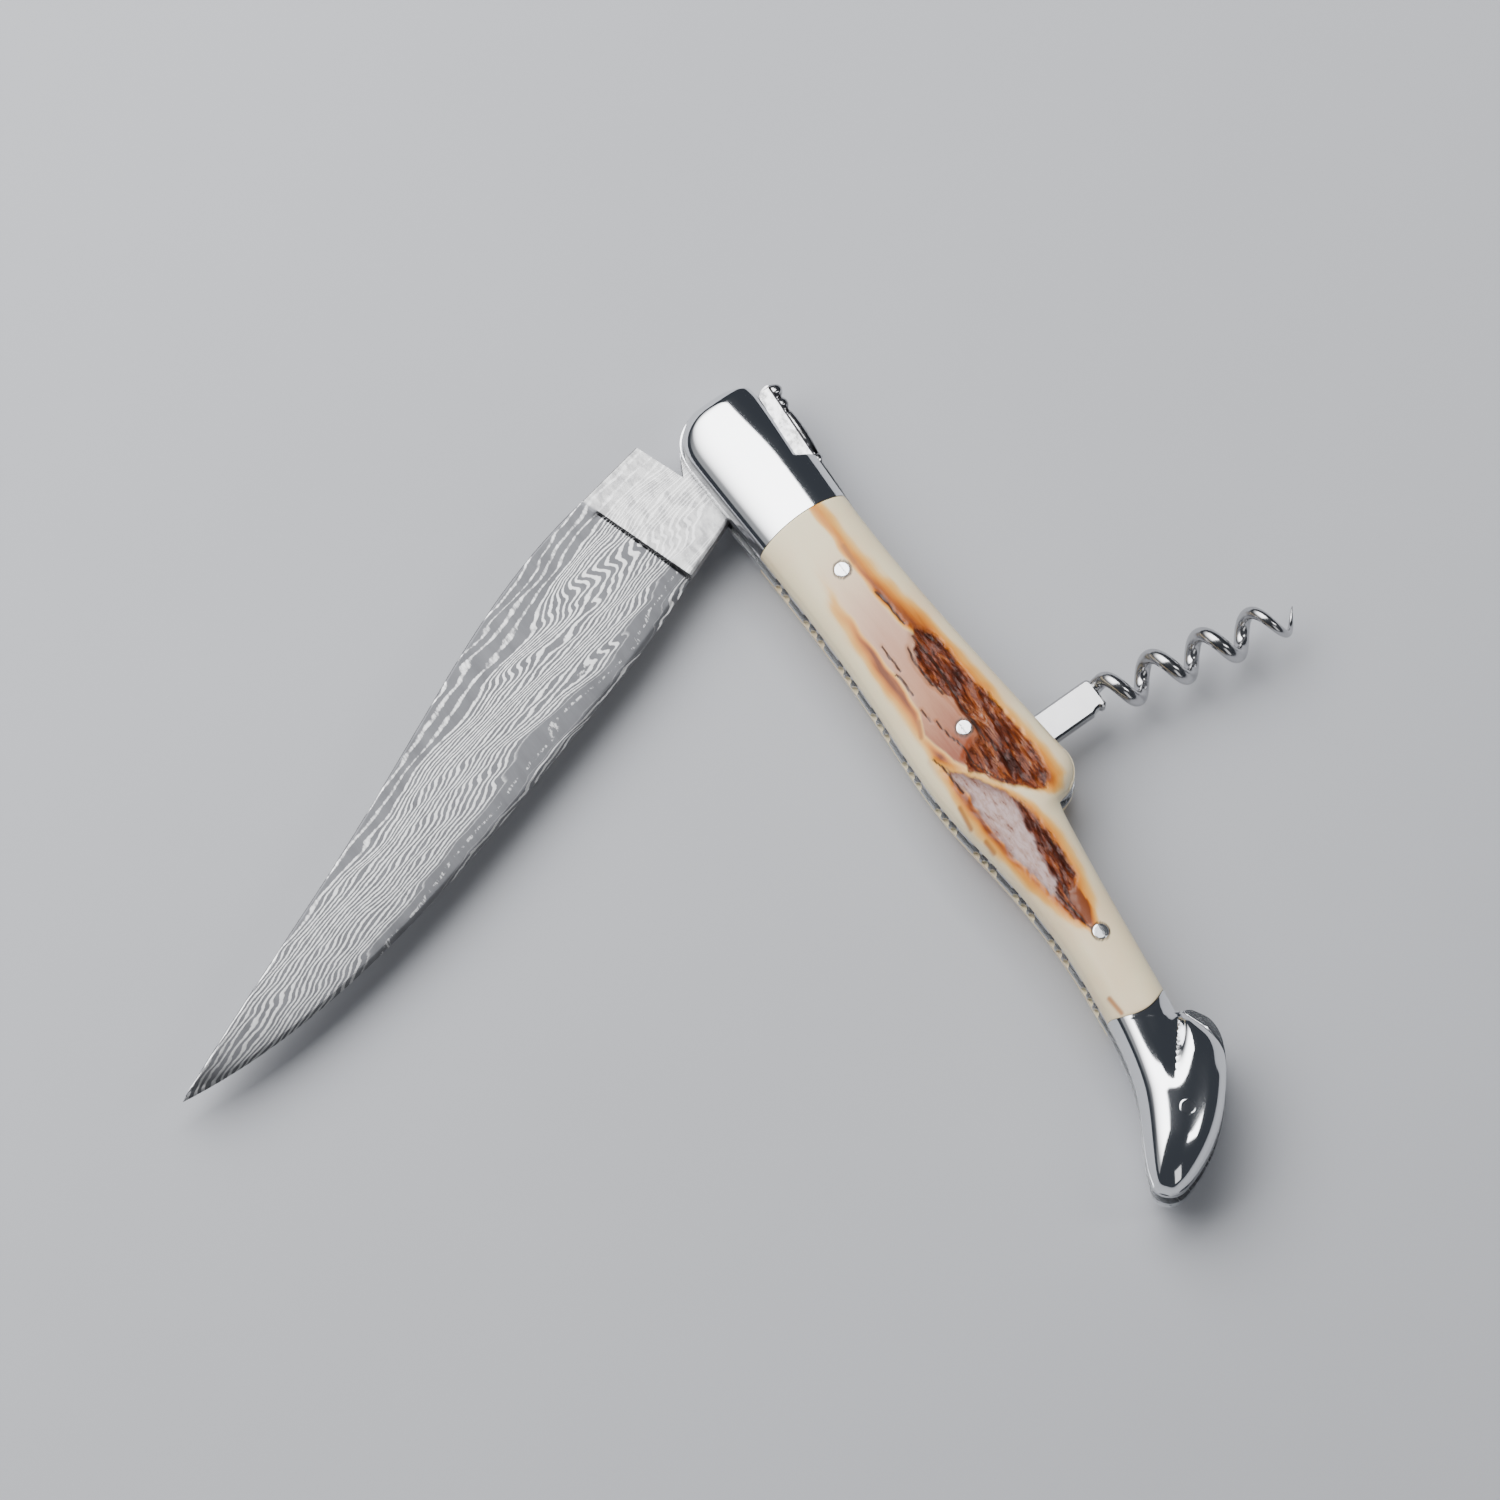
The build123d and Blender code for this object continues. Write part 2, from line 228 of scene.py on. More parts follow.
# Lengths in millimetres; a station is a distance along the handle's bent middle line.
CENTRE_LINE_Y = 1.5
NOSE_DROP = 1.1
NOSE_BEND = 6.0
CENTRE_DROP = 3.1
DROP_START = 45.0
HOOK_START = 88.0
HOOK_RADIUS = 31.0
FIRST_RIB = 0.03
RIB_STEP = 0.1
NARROWEST_RIB = 0.8
NOTCH_END = 9.0
NECK_STATION = 91.5
SPUR_STATION = 99.0
SEAM_GAP = 0.04
EASED_DEPTH = 0.35
EASED_WIDTH = 0.5
# Spreads over which the outline and the crown line are softened, in ribs.
OUTLINE_BLUR = 1.5
CROWN_BLUR = 9
# Powers of the roundings at the ends, where 2 is an ellipse and more is boxier.
NOSE_POWER = 2.4
TAIL_POWER = 2.2


def centre_height(s):
    """Height along Y of the line that joins the middles of the ribs."""
    nose = NOSE_DROP * (1 - smoothstep(-NOSE_BEND, NOSE_BEND, s))
    return CENTRE_LINE_Y - nose - CENTRE_DROP * smoothstep(DROP_START, HOOK_START, s)


def rib_frame(s):
    """Middle of the rib at a distance along the handle, and the direction across it."""
    s = np.asarray(s, float)
    turn = np.maximum(s - HOOK_START, 0) / HOOK_RADIUS
    x = np.minimum(s, HOOK_START) + HOOK_RADIUS * np.sin(turn)
    y = centre_height(np.minimum(s, HOOK_START)) - HOOK_RADIUS * (1 - np.cos(turn))
    return np.stack([x, y], -1), np.stack([np.sin(turn), np.cos(turn)], -1)


class HandleShape:
    """The handle's outline, as reaches to the belly and to the back from a bent middle line."""

    def __init__(self):
        edges = edges_from_above("upper_front_bolster", "upper_scale", "upper_rear_bolster")
        stations, belly, back = [], [], []
        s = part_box("upper_front_bolster")[0].x / MM + FIRST_RIB
        while True:
            middle, across = rib_frame(s)
            span = reach(edges, middle, across)
            if span is None or span[1] - span[0] < NARROWEST_RIB:
                if s > HOOK_START:
                    break
                s += RIB_STEP / 2
                continue
            stations.append(s)
            belly.append(-span[0])
            back.append(span[1])
            s += RIB_STEP
        self.stations = np.array(stations)
        self.belly = blurred(np.array(belly), OUTLINE_BLUR)
        self.back = blurred(np.array(back), OUTLINE_BLUR)
        self.start = self.stations[0]
        self.end = self.stations[-1]
        self.crown_belly = blurred(self.belly, CROWN_BLUR)
        crown = self.back.copy()
        crown[self.stations < NOTCH_END] = np.interp(NOTCH_END, self.stations, self.back)
        neck = (self.stations > NECK_STATION) & (self.stations < SPUR_STATION)
        ends = np.interp([NECK_STATION, SPUR_STATION], self.stations, self.back)
        share = smoothstep(NECK_STATION, SPUR_STATION, self.stations[neck])
        crown[neck] = ends[0] + (ends[1] - ends[0]) * share
        self.crown_back = blurred(crown, CROWN_BLUR)

    def reach_at(self, s, v):
        """Reach of the outline, on the side that v lies on."""
        return np.where(
            v > 0, np.interp(s, self.stations, self.back), np.interp(s, self.stations, self.belly)
        )

    def place(self, s, v):
        """Points of the outline's plane: v is -1 at the belly edge and 1 at the back edge."""
        middle, across = rib_frame(s)
        return middle + (self.reach_at(s, v) * v)[..., None] * across

    def dome(self, s, v, settings):
        """Height of the domed surface above the liner, before any carving."""
        reach_here = self.reach_at(s, v)
        crown = np.where(
            v > 0,
            np.interp(s, self.stations, self.crown_back),
            np.interp(s, self.stations, self.crown_belly),
        )
        share = np.clip(np.abs(v) * reach_here / crown, 0, 1)
        arch = np.sqrt(1 - share**settings.dome_power)
        nose = np.clip((s - self.start) / settings.nose_round, 0, 1)
        tail = np.clip((self.end - s) / settings.tail_round, 0, 1)
        ends = (1 - (1 - nose) ** NOSE_POWER) ** 0.5 * (1 - (1 - tail) ** TAIL_POWER) ** 0.5
        rise = (CROWN - COVER_BASE - settings.wall_height) * arch * ends
        to_rim = (1 - np.abs(v)) * reach_here
        eased = EASED_DEPTH * np.clip(1 - to_rim / EASED_WIDTH, 0, 1) ** 2
        eased = eased * np.clip((rise - 0.4) / 0.6, 0, 1)
        return settings.wall_height + rise - eased


shape = HandleShape()


def seam_front(v):
    """Where the front seam crosses, for each place across the handle."""
    return FRONT_SEAM - FRONT_SEAM_BULGE * (1 - v**2)


def seam_rear(v):
    """Where the rear seam crosses, for each place across the handle."""
    return REAR_SEAM + REAR_SEAM_BULGE * (1 - v**2)


def cover_points(settings, start, end, along, carve=None):
    """Plan positions of a domed cover between two seams, and its heights above the liner."""
    across = np.sin(np.linspace(-math.pi / 2, math.pi / 2, settings.rib_points))
    along, v = np.meshgrid(along, across, indexing="ij")
    s = start(v) + along * (end(v) - start(v))
    plan = shape.place(s, v)
    height = shape.dome(s, v, settings)
    if carve:
        height = carve(s, v, plan, height)
    return plan, height


def cover_piece(name, plan, height, side, material, replaced):
    """A closed cover from its plan and heights: its dome, its flat underside and its ends."""
    rows, columns = height.shape
    low = np.concatenate([plan[:, :1], plan, plan[:, -1:]], axis=1)
    high = np.concatenate([np.zeros((rows, 1)), height, np.zeros((rows, 1))], axis=1)
    z = COVER_BASE + high
    if side == "lower":
        z = CROWN - z
    points = np.concatenate([low, z[..., None]], axis=2).reshape(-1, 3)
    faces = loft_faces(rows, columns + 2, closed=True)
    if side == "upper":
        faces = flipped(faces)
    return make_piece(name, points, faces, "handle", replaced, material)


def edge_drop(distance, width, depth):
    """A small rounding that falls away at a seam."""
    near = np.clip(1 - distance / width, 0, 1)
    return depth * near**2


# ------------------------------------------------------------------ materials


class Shader:
    """Builds one material's nodes with short calls."""

    def __init__(self, name):
        self.material = bpy.data.materials.new(name)
        self.material.use_nodes = True
        self.tree = self.material.node_tree
        self.surface = self.tree.nodes["Principled BSDF"]

    def feed(self, socket, value):
        """Gives a socket a number or a colour, or links another socket to it."""
        if isinstance(value, bpy.types.NodeSocket):
            self.tree.links.new(value, socket)
        else:
            socket.default_value = (*value, 1) if socket.type == "RGBA" else value

    def fill(self, node, values):
        """Gives a node's sockets the values or links under their names."""
        for key, value in values.items():
            self.feed(node.inputs[key.replace("_", " ")], value)

    def node(self, kind, **values):
        """A node of this kind with its sockets filled in."""
        made = self.tree.nodes.new(kind)
        self.fill(made, values)
        return made

    def set(self, **values):
        """Numbers, colours or links on the surface's own sockets."""
        self.fill(self.surface, values)

    def coordinates(self, scale=(1, 1, 1), turn=0.0):
        """Object coordinates in millimetres, turned about Z and stretched."""
        source = self.node("ShaderNodeTexCoord").outputs["Object"]
        scale = [part / MM for part in scale]
        mapping = self.node("ShaderNodeMapping", Vector=source, Rotation=(0, 0, turn), Scale=scale)
        return mapping.outputs["Vector"]

    def axes(self, vector):
        """The X, Y and Z sockets of a vector."""
        return self.node("ShaderNodeSeparateXYZ", Vector=vector).outputs

    def noise(self, vector, scale, detail=3.0, roughness=0.5, distortion=0.0):
        """A noise texture's value."""
        made = self.node(
            "ShaderNodeTexNoise",
            Vector=vector, Scale=scale, Detail=detail, Roughness=roughness, Distortion=distortion,
        )
        return made.outputs["Fac"]

    def attribute(self, name):
        """A number stored on the mesh."""
        made = self.node("ShaderNodeAttribute")
        made.attribute_name = name
        return made.outputs["Fac"]

    def math(self, operation, first, second=0.0, third=0.0):
        """A math node; each of its inputs is a socket or a number."""
        made = self.node("ShaderNodeMath")
        made.operation = operation
        for socket, value in zip(made.inputs, (first, second, third)):
            self.feed(socket, value)
        return made.outputs["Value"]

    def minus(self, first, second):
        """The first value less the second."""
        return self.math("SUBTRACT", first, second)

    def times(self, first, second):
        """The product of two values."""
        return self.math("MULTIPLY", first, second)

    def scaled(self, value, factor, added):
        """A value times a factor, plus another value."""
        return self.math("MULTIPLY_ADD", value, factor, added)

    def ramp(self, factor, stops):
        """A colour ramp: stops are (place, colour)."""
        made = self.node("ShaderNodeValToRGB", Fac=factor)
        elements = made.color_ramp.elements
        while len(elements) < len(stops):
            elements.new(0.5)
        for element, (place, colour) in zip(elements, stops):
            element.position = place
            element.color = (*colour, 1)
        return made.outputs["Color"]

    def grey_ramp(self, factor, low, high):
        """0 below low and 1 above high, smoothly."""
        made = self.node("ShaderNodeMapRange", Value=factor, From_Min=low, From_Max=high)
        made.interpolation_type = "SMOOTHSTEP"
        return made.outputs["Result"]

    def mix(self, factor, first, second):
        """A blend of two colours; the factor is a socket, the colours sockets or tuples."""
        made = self.node("ShaderNodeMix", Factor=factor)
        made.data_type = "RGBA"
        colours = [socket for socket in made.inputs if socket.type == "RGBA"]
        for socket, value in zip(colours, (first, second)):
            self.feed(socket, value)
        return next(socket for socket in made.outputs if socket.type == "RGBA")

    def bump(self, height, strength, distance):
        """Fine relief on the surface, with its distance in millimetres."""
        made = self.node("ShaderNodeBump", Height=height, Strength=strength, Distance=distance * MM)
        self.set(Normal=made.outputs["Normal"])


def polished_steel(name, colour, roughness, scratch=0.04, lay=(0.05, 1.2, 1.2)):
    """Bright steel with faint polishing marks along the knife."""
    shader = Shader(name)
    shader.set(Metallic=1.0, Base_Color=colour)
    marks = shader.noise(shader.coordinates(scale=lay), 2.2, 5, 0.6)
    smudges = shader.noise(shader.coordinates(), 0.16, 3, 0.55)
    worn = shader.scaled(marks, scratch, roughness - scratch / 2)
    worn = shader.scaled(smudges, scratch, worn)
    shader.set(Roughness=worn)
    shader.bump(marks, scratch, 0.01)
    return shader.material


def filed_steel(name, settings):
    """Worked steel: mottled and brushed, with painted shade in the filed hollows."""
    shader = Shader(name)
    mottle = shader.noise(shader.coordinates(), 0.9, 4, 0.65)
    brushed = shader.noise(shader.coordinates(scale=(0.10, 1.6, 1.6)), 2.2, 5, 0.6)
    bright = tuple(settings.steel)
    colour = shader.ramp(mottle, [(0.38, tuple(0.38 * part for part in bright)), (0.60, bright)])
    # Painted shade: near-black colour laid into the filed hollows that the spring marks.
    colour = shader.mix(shader.attribute("hollow_shade"), colour, (0.025, 0.025, 0.028))
    shader.set(Base_Color=colour)
    shader.set(Metallic=1.0)
    shader.set(Roughness=shader.scaled(brushed, 0.18, 0.06))
    shader.bump(brushed, 0.2, 0.012)
    return shader.material


def tusk(name, settings):
    """Polished tusk: cream rim, orange-brown rings round a pinkish heart, and dark bark."""
    shader = Shader(name)
    plain = shader.coordinates()
    along = shader.coordinates(scale=(0.12, 1, 1))
    grain = shader.noise(shader.coordinates(scale=(0.06, 1, 1), turn=0.03), 1.5, 5, 0.65)
    wisps = shader.noise(along, 0.6, 4, 0.6)
    clouds = shader.noise(plain, 0.11, 3)
    cream = shader.mix(
        shader.grey_ramp(clouds, 0.35, 0.7), tuple(settings.cream), tuple(settings.cream_shade)
    )
    reach_along = shader.scaled(wisps, 12.0, shader.minus(shader.axes(plain)["X"], 6.0))
    heart_colour = shader.ramp(
        shader.times(reach_along, 0.01),
        [
            (0.16, (0.93, 0.70, 0.44)),
            (0.24, (0.84, 0.56, 0.38)),
            (0.33, (0.66, 0.38, 0.26)),
            (0.43, (0.54, 0.24, 0.13)),
            (0.51, (0.30, 0.065, 0.022)),
            (0.75, (0.38, 0.12, 0.045)),
        ],
    )
    colour = shader.mix(shader.attribute("heart"), cream, heart_colour)
    amber = shader.attribute("amber")
    streaky = shader.scaled(grain, 0.35, shader.minus(amber, 0.19))
    amber_colour = shader.ramp(
        shader.scaled(wisps, 0.5, shader.minus(amber, 0.25)),
        [
            (0.10, (0.94, 0.66, 0.30)),
            (0.40, (0.88, 0.47, 0.12)),
            (0.68, tuple(settings.amber)),
            (0.90, (0.42, 0.105, 0.012)),
            (1.0, (0.20, 0.045, 0.008)),
        ],
    )
    colour = shader.mix(shader.grey_ramp(streaky, 0.0, 0.38), colour, amber_colour)
    fibre = shader.noise(shader.coordinates(scale=(0.26, 1, 1), turn=0.15), 0.75, 8, 0.70, 0.5)
    # The bark ramp's lightest, greyish-pink stop is a painted highlight: glints of light on the rough
    # bark.
    bark_colour = shader.ramp(
        fibre,
        [
            (0.32, (0.014, 0.004, 0.002)),
            (0.45, (0.075, 0.012, 0.004)),
            (0.55, (0.20, 0.038, 0.008)),
            (0.62, (0.38, 0.11, 0.028)),
            (0.70, (0.45, 0.31, 0.26)),
        ],
    )
    # Painted sheen: a pinkish-grey patch over the smoother rear bark, standing in for light reflected
    # by its glossy surface.
    specks = shader.noise(shader.coordinates(scale=(0.35, 1, 1)), 1.9, 3, 0.7)
    painted_sheen_colour = shader.ramp(
        specks, [(0.30, (0.16, 0.05, 0.03)), (0.40, (0.40, 0.24, 0.20)), (0.62, (0.52, 0.38, 0.37))]
    )
    painted_sheen = shader.times(shader.attribute("painted_sheen"), shader.minus(1.0, shader.attribute("rough")))
    bark_colour = shader.mix(painted_sheen, bark_colour, painted_sheen_colour)
    ragged = shader.scaled(fibre, 1.5, shader.minus(shader.attribute("bark"), 0.75))
    bark = shader.grey_ramp(ragged, -0.10, 0.40)
    colour = shader.mix(bark, colour, bark_colour)
    lines = shader.noise(shader.coordinates(scale=(0.12, 1, 1), turn=0.12), 1.0, 6, 0.7, 1.0)
    thread = shader.math("ABSOLUTE", shader.minus(lines, 0.5))
    thread = shader.minus(1.0, shader.grey_ramp(thread, 0.003, 0.014))
    thread = shader.times(thread, shader.attribute("rough"))
    colour = shader.mix(shader.times(thread, 0.85), colour, (0.030, 0.010, 0.007))
    streak = shader.grey_ramp(shader.attribute("streak"), 0.1, 0.9)
    colour = shader.mix(shader.times(streak, 0.8), colour, (0.42, 0.14, 0.03))
    crack = shader.grey_ramp(shader.scaled(grain, 0.6, shader.attribute("crack")), 0.55, 0.95)
    colour = shader.mix(shader.times(crack, 0.9), colour, (0.055, 0.028, 0.022))
    colour = shader.mix(shader.attribute("ring"), colour, (0.05, 0.03, 0.02))
    shader.set(Base_Color=colour)
    shader.set(
        Specular_IOR_Level=0.28, Coat_Weight=0.12, Coat_Roughness=0.08, Subsurface_Weight=0.05
    )
    shader.set(Subsurface_Radius=(1.2, 0.6, 0.3), Subsurface_Scale=MM)
    gloss = shader.scaled(grain, 0.14, 0.26)
    shader.set(Roughness=gloss)
    relief = shader.times(fibre, shader.attribute("rough"))
    relief = shader.minus(relief, shader.times(thread, 0.5))
    shader.bump(shader.scaled(grain, 0.03, relief), 0.7, 0.4)
    return shader.material


def layered_steel(name, settings, turn):
    """Pattern-welded steel: fine bright wavy layers on dark grey, with a plain band near the edge."""
    shader = Shader(name)
    blade = shader.coordinates(turn=turn)
    along, aside, _ = shader.axes(blade)
    slow = shader.noise(shader.coordinates(scale=(0.6, 0.3, 1), turn=turn), 0.13, 2, 0.4)
    waves = shader.noise(shader.coordinates(scale=(0.8, 0.14, 1), turn=turn), 0.32, 2, 0.5)
    jitter = shader.noise(shader.coordinates(scale=(0.8, 0.6, 1), turn=turn), 1.3, 3, 0.55)
    near_heel = shader.minus(1.0, shader.grey_ramp(along, 25.0, 60.0))
    swing = shader.scaled(near_heel, 2.0, 3.6)
    layer = shader.scaled(shader.minus(waves, 0.5), swing, aside)
    layer = shader.scaled(shader.minus(slow, 0.5), 5.0, layer)
    layer = shader.scaled(shader.minus(jitter, 0.5), 0.28, layer)
    from_spine = shader.math("ADD", layer, 7.2)
    body = shader.times(shader.math("MAXIMUM", from_spine, 0.0), settings.line_density)
    spine = shader.times(shader.math("MINIMUM", from_spine, 0.0), 0.7)
    flat = shader.node("ShaderNodeCombineXYZ", X=layer)
    uneven = shader.noise(flat.outputs["Vector"], 0.9, 1, 0.5)
    count = shader.scaled(uneven, 0.7, shader.math("ADD", body, spine))
    line = shader.math("SINE", shader.times(count, 2 * math.pi))
    ragged = shader.noise(shader.coordinates(scale=(0.35, 1, 1), turn=turn), 1.7, 3, 0.7)
    thin = shader.minus(1.0, shader.grey_ramp(from_spine, -0.6, 0.8))
    threshold = shader.scaled(ragged, -1.7, 1.15)
    threshold = shader.scaled(thin, 0.55, threshold)
    bright = shader.grey_ramp(shader.minus(line, threshold), -0.25, 0.35)
    band_start = shader.grey_ramp(layer, settings.band_inner - 0.15, settings.band_inner + 0.15)
    band_end = shader.grey_ramp(layer, settings.band_outer - 0.15, settings.band_outer + 0.15)
    in_band = shader.minus(band_start, band_end)
    bright = shader.times(bright, shader.minus(1.0, in_band))
    middle = (settings.band_inner + settings.band_outer) / 2
    dashes = shader.math("ABSOLUTE", shader.minus(layer, middle))
    dashes = shader.minus(1.0, shader.grey_ramp(dashes, 0.08, 0.22))
    dashes = shader.times(dashes, shader.grey_ramp(ragged, 0.50, 0.60))
    bright = shader.math("MAXIMUM", bright, shader.times(dashes, 0.8))
    plain = shader.grey_ramp(along, settings.plunge - 0.5, settings.plunge)
    tone = shader.noise(shader.coordinates(scale=(0.15, 1, 1), turn=turn), 0.5, 4, 0.6)
    dark = shader.ramp(
        tone, [(0.3, tuple(settings.grey)), (0.7, tuple(part * 1.35 for part in settings.grey))]
    )
    cloud = shader.noise(shader.coordinates(scale=(0.5, 1, 1), turn=turn), 0.8, 4, 0.6)
    ricasso = shader.ramp(cloud, [(0.38, (0.27, 0.27, 0.275)), (0.56, (0.46, 0.46, 0.46))])
    ground = shader.mix(plain, ricasso, dark)
    faint = shader.scaled(plain, 0.65, 0.35)
    colour = shader.mix(shader.times(bright, faint), ground, tuple(settings.silver))
    shader.set(Base_Color=colour)
    shader.set(Metallic=1.0)
    rough = shader.scaled(bright, -0.10, settings.roughness)
    shader.set(Roughness=rough)
    shader.bump(bright, 0.2, 0.02)
    return shader.material


def floor_material(settings):
    """Plain pale floor."""
    shader = Shader("pale_floor")
    tone = shader.noise(shader.coordinates(), 0.02, 3)
    colour = tuple(settings.floor_colour)
    shade = tuple(part * 0.97 for part in colour)
    shader.set(Base_Color=shader.ramp(tone, [(0.3, colour), (0.7, shade)]))
    shader.set(Roughness=0.75, Specular_IOR_Level=0.2)
    return shader.material


# ------------------------------------------------------------------ settings


class KnifeCoverSettings(bpy.types.PropertyGroup):
    """Sizes shared by the bolsters and the scales."""

    wall_height: FloatProperty(
        name="Wall height", description="Upright edge above the liner, in mm", default=0.9, min=0.1
    )
    dome_power: FloatProperty(
        name="Dome power", description="2 is an ellipse across the handle, more is boxier",
        default=2.3, min=1
    )
    nose_round: FloatProperty(
        name="Nose rounding", description="Length over which the nose rounds off, in mm",
        default=2.4, min=0.5
    )
    tail_round: FloatProperty(
        name="Tail rounding", description="Length over which the tail rounds off, in mm",
        default=7.5, min=0.5
    )
    rib_points: IntProperty(
        name="Points across", description="Points across each cover's dome", default=97, min=9
    )
    steel: FloatVectorProperty(
        name="Bolster steel", description="Colour of the polished bolsters", subtype="COLOR",
        size=3,
        default=(0.80, 0.81, 0.83), min=0, max=1,
    )
    polish: FloatProperty(
        name="Polish", description="Roughness of the bolsters", default=0.07, min=0, max=1,
        subtype="FACTOR"
    )
    valley_depth: FloatProperty(
        name="Valley depth", description="Share of the rear bolster's height that the crease takes",
        default=0.62, min=0, max=1, subtype="FACTOR",
    )
    valley_width: FloatProperty(
        name="Valley width", description="Half width of the rear bolster's crease, in mm",
        default=1.0, min=0.1
    )
    spur_round: FloatProperty(
        name="Spur rounding", description="Width over which the spur rounds off, in mm",
        default=2.0, min=0.1
    )


class KnifeScaleSettings(bpy.types.PropertyGroup):
    """Sizes and colours of the two tusk scales."""

    bark_depth: FloatProperty(
        name="Bark depth", description="How far the bark lies below the polished tusk, in mm",
        default=0.6, min=0
    )
    cream: FloatVectorProperty(
        name="Cream", description="Colour of the outer tusk", subtype="COLOR", size=3,
        default=(0.95, 0.82, 0.55), min=0, max=1,
    )
    cream_shade: FloatVectorProperty(
        name="Cream shade", description="Second colour of the outer tusk", subtype="COLOR", size=3,
        default=(0.93, 0.74, 0.48), min=0, max=1,
    )
    amber: FloatVectorProperty(
        name="Amber", description="Colour of the stained rings", subtype="COLOR", size=3,
        default=(0.74, 0.27, 0.035), min=0, max=1,
    )


class KnifeBladeSettings(bpy.types.PropertyGroup):
    """Sizes and colours of the pattern-welded blade."""

    edge_thickness: FloatProperty(
        name="Edge thickness", description="Half thickness behind the cutting edge, in mm",
        default=0.22, min=0.02
    )
    bevel_width: FloatProperty(
        name="Edge bevel", description="Width of the sharpened bevel, in mm", default=0.5, min=0.05
    )
    groove_depth: FloatProperty(
        name="Plunge groove", description="Depth of the line at the end of the grind, in mm",
        default=0.3, min=0
    )
    plunge: FloatProperty(
        name="Plunge", description="Distance from the pivot to the end of the grind, in mm",
        default=16.65, min=5
    )
    band_inner: FloatProperty(
        name="Plain band start", description="Where the plain layer starts across the blade, in mm",
        default=2.2
    )
    band_outer: FloatProperty(
        name="Plain band end", description="Where the plain layer ends across the blade, in mm",
        default=4.3
    )
    grey: FloatVectorProperty(
        name="Etched grey", description="Colour of the etched layers", subtype="COLOR", size=3,
        default=(0.11, 0.112, 0.12), min=0, max=1,
    )
    silver: FloatVectorProperty(
        name="Bright layers", description="Colour of the bright layers", subtype="COLOR", size=3,
        default=(0.60, 0.60, 0.605), min=0, max=1,
    )
    line_density: FloatProperty(
        name="Line density", description="Bright layers across each mm of the blade", default=2.1,
        min=0.1
    )
    roughness: FloatProperty(
        name="Roughness", description="Roughness of the etched steel", default=0.42, min=0, max=1,
        subtype="FACTOR",
    )


class KnifeSpringSettings(bpy.types.PropertyGroup):
    """Sizes and finish of the back spring with its filed head."""

    groove: FloatProperty(
        name="Groove", description="Depth of the groove filed below the back, in mm", default=0.3,
        min=0
    )
    steel: FloatVectorProperty(
        name="Spring steel", description="Colour of the spring", subtype="COLOR", size=3,
        default=(0.56, 0.56, 0.57), min=0, max=1,
    )


class KnifeCorkscrewSettings(bpy.types.PropertyGroup):
    """Sizes and finish of the corkscrew."""

    wire: FloatProperty(
        name="Wire", description="Radius of the worm's wire, in mm", default=1.0, min=0.2
    )
    coil: FloatProperty(
        name="Coil", description="Radius of the worm's turns, in mm", default=2.15, min=0.5
    )
    pitch: FloatProperty(name="Pitch", description="Length of one turn, in mm", default=7.0, min=1)
    point_length: FloatProperty(
        name="Point length", description="Length of wire that narrows to the point, in mm",
        default=16.0, min=1
    )
    bevel: FloatProperty(
        name="Bevel", description="Width of the shank's bevels, in mm", default=0.3, min=0
    )
    steel: FloatVectorProperty(
        name="Corkscrew steel", description="Colour of the corkscrew", subtype="COLOR", size=3,
        default=(0.50, 0.50, 0.51), min=0, max=1,
    )


class KnifeStageSettings(bpy.types.PropertyGroup):
    """Floor, camera and lights."""

    floor_colour: FloatVectorProperty(
        name="Floor", description="Colour of the floor", subtype="COLOR", size=3,
        default=(0.50, 0.51, 0.54), min=0, max=1,
    )
    lens: FloatProperty(name="Lens", description="Focal length, in mm", default=564.4, min=10)
    distance: FloatProperty(
        name="Distance", description="From the camera to the knife, in metres", default=3.0,
        min=0.1, unit="LENGTH"
    )
    main_power: FloatProperty(
        name="Main light", description="Power of the softbox, in W", default=98, min=0
    )
    fill_power: FloatProperty(
        name="Strip light", description="Power of the strip light, in W", default=0.5, min=0
    )
    panel_power: FloatProperty(
        name="Side panel", description="Power of the side panel, in W", default=0.7, min=0
    )
    room_light: FloatProperty(
        name="Room light", description="Strength of the dim room", default=0.12, min=0
    )


# ------------------------------------------------------------------ bolsters


# Corners of the rear bolster's crease seen from above, the stations between which the spur's
# rim is rounded, and how much wider the crease is on its belly side.
VALLEY = [(90.0, 3.1), (94.75, 1.9), (102.6, -4.5)]
SPUR_RIM = (92.0, 102.0)
VALLEY_FAR_SIDE = 2.3


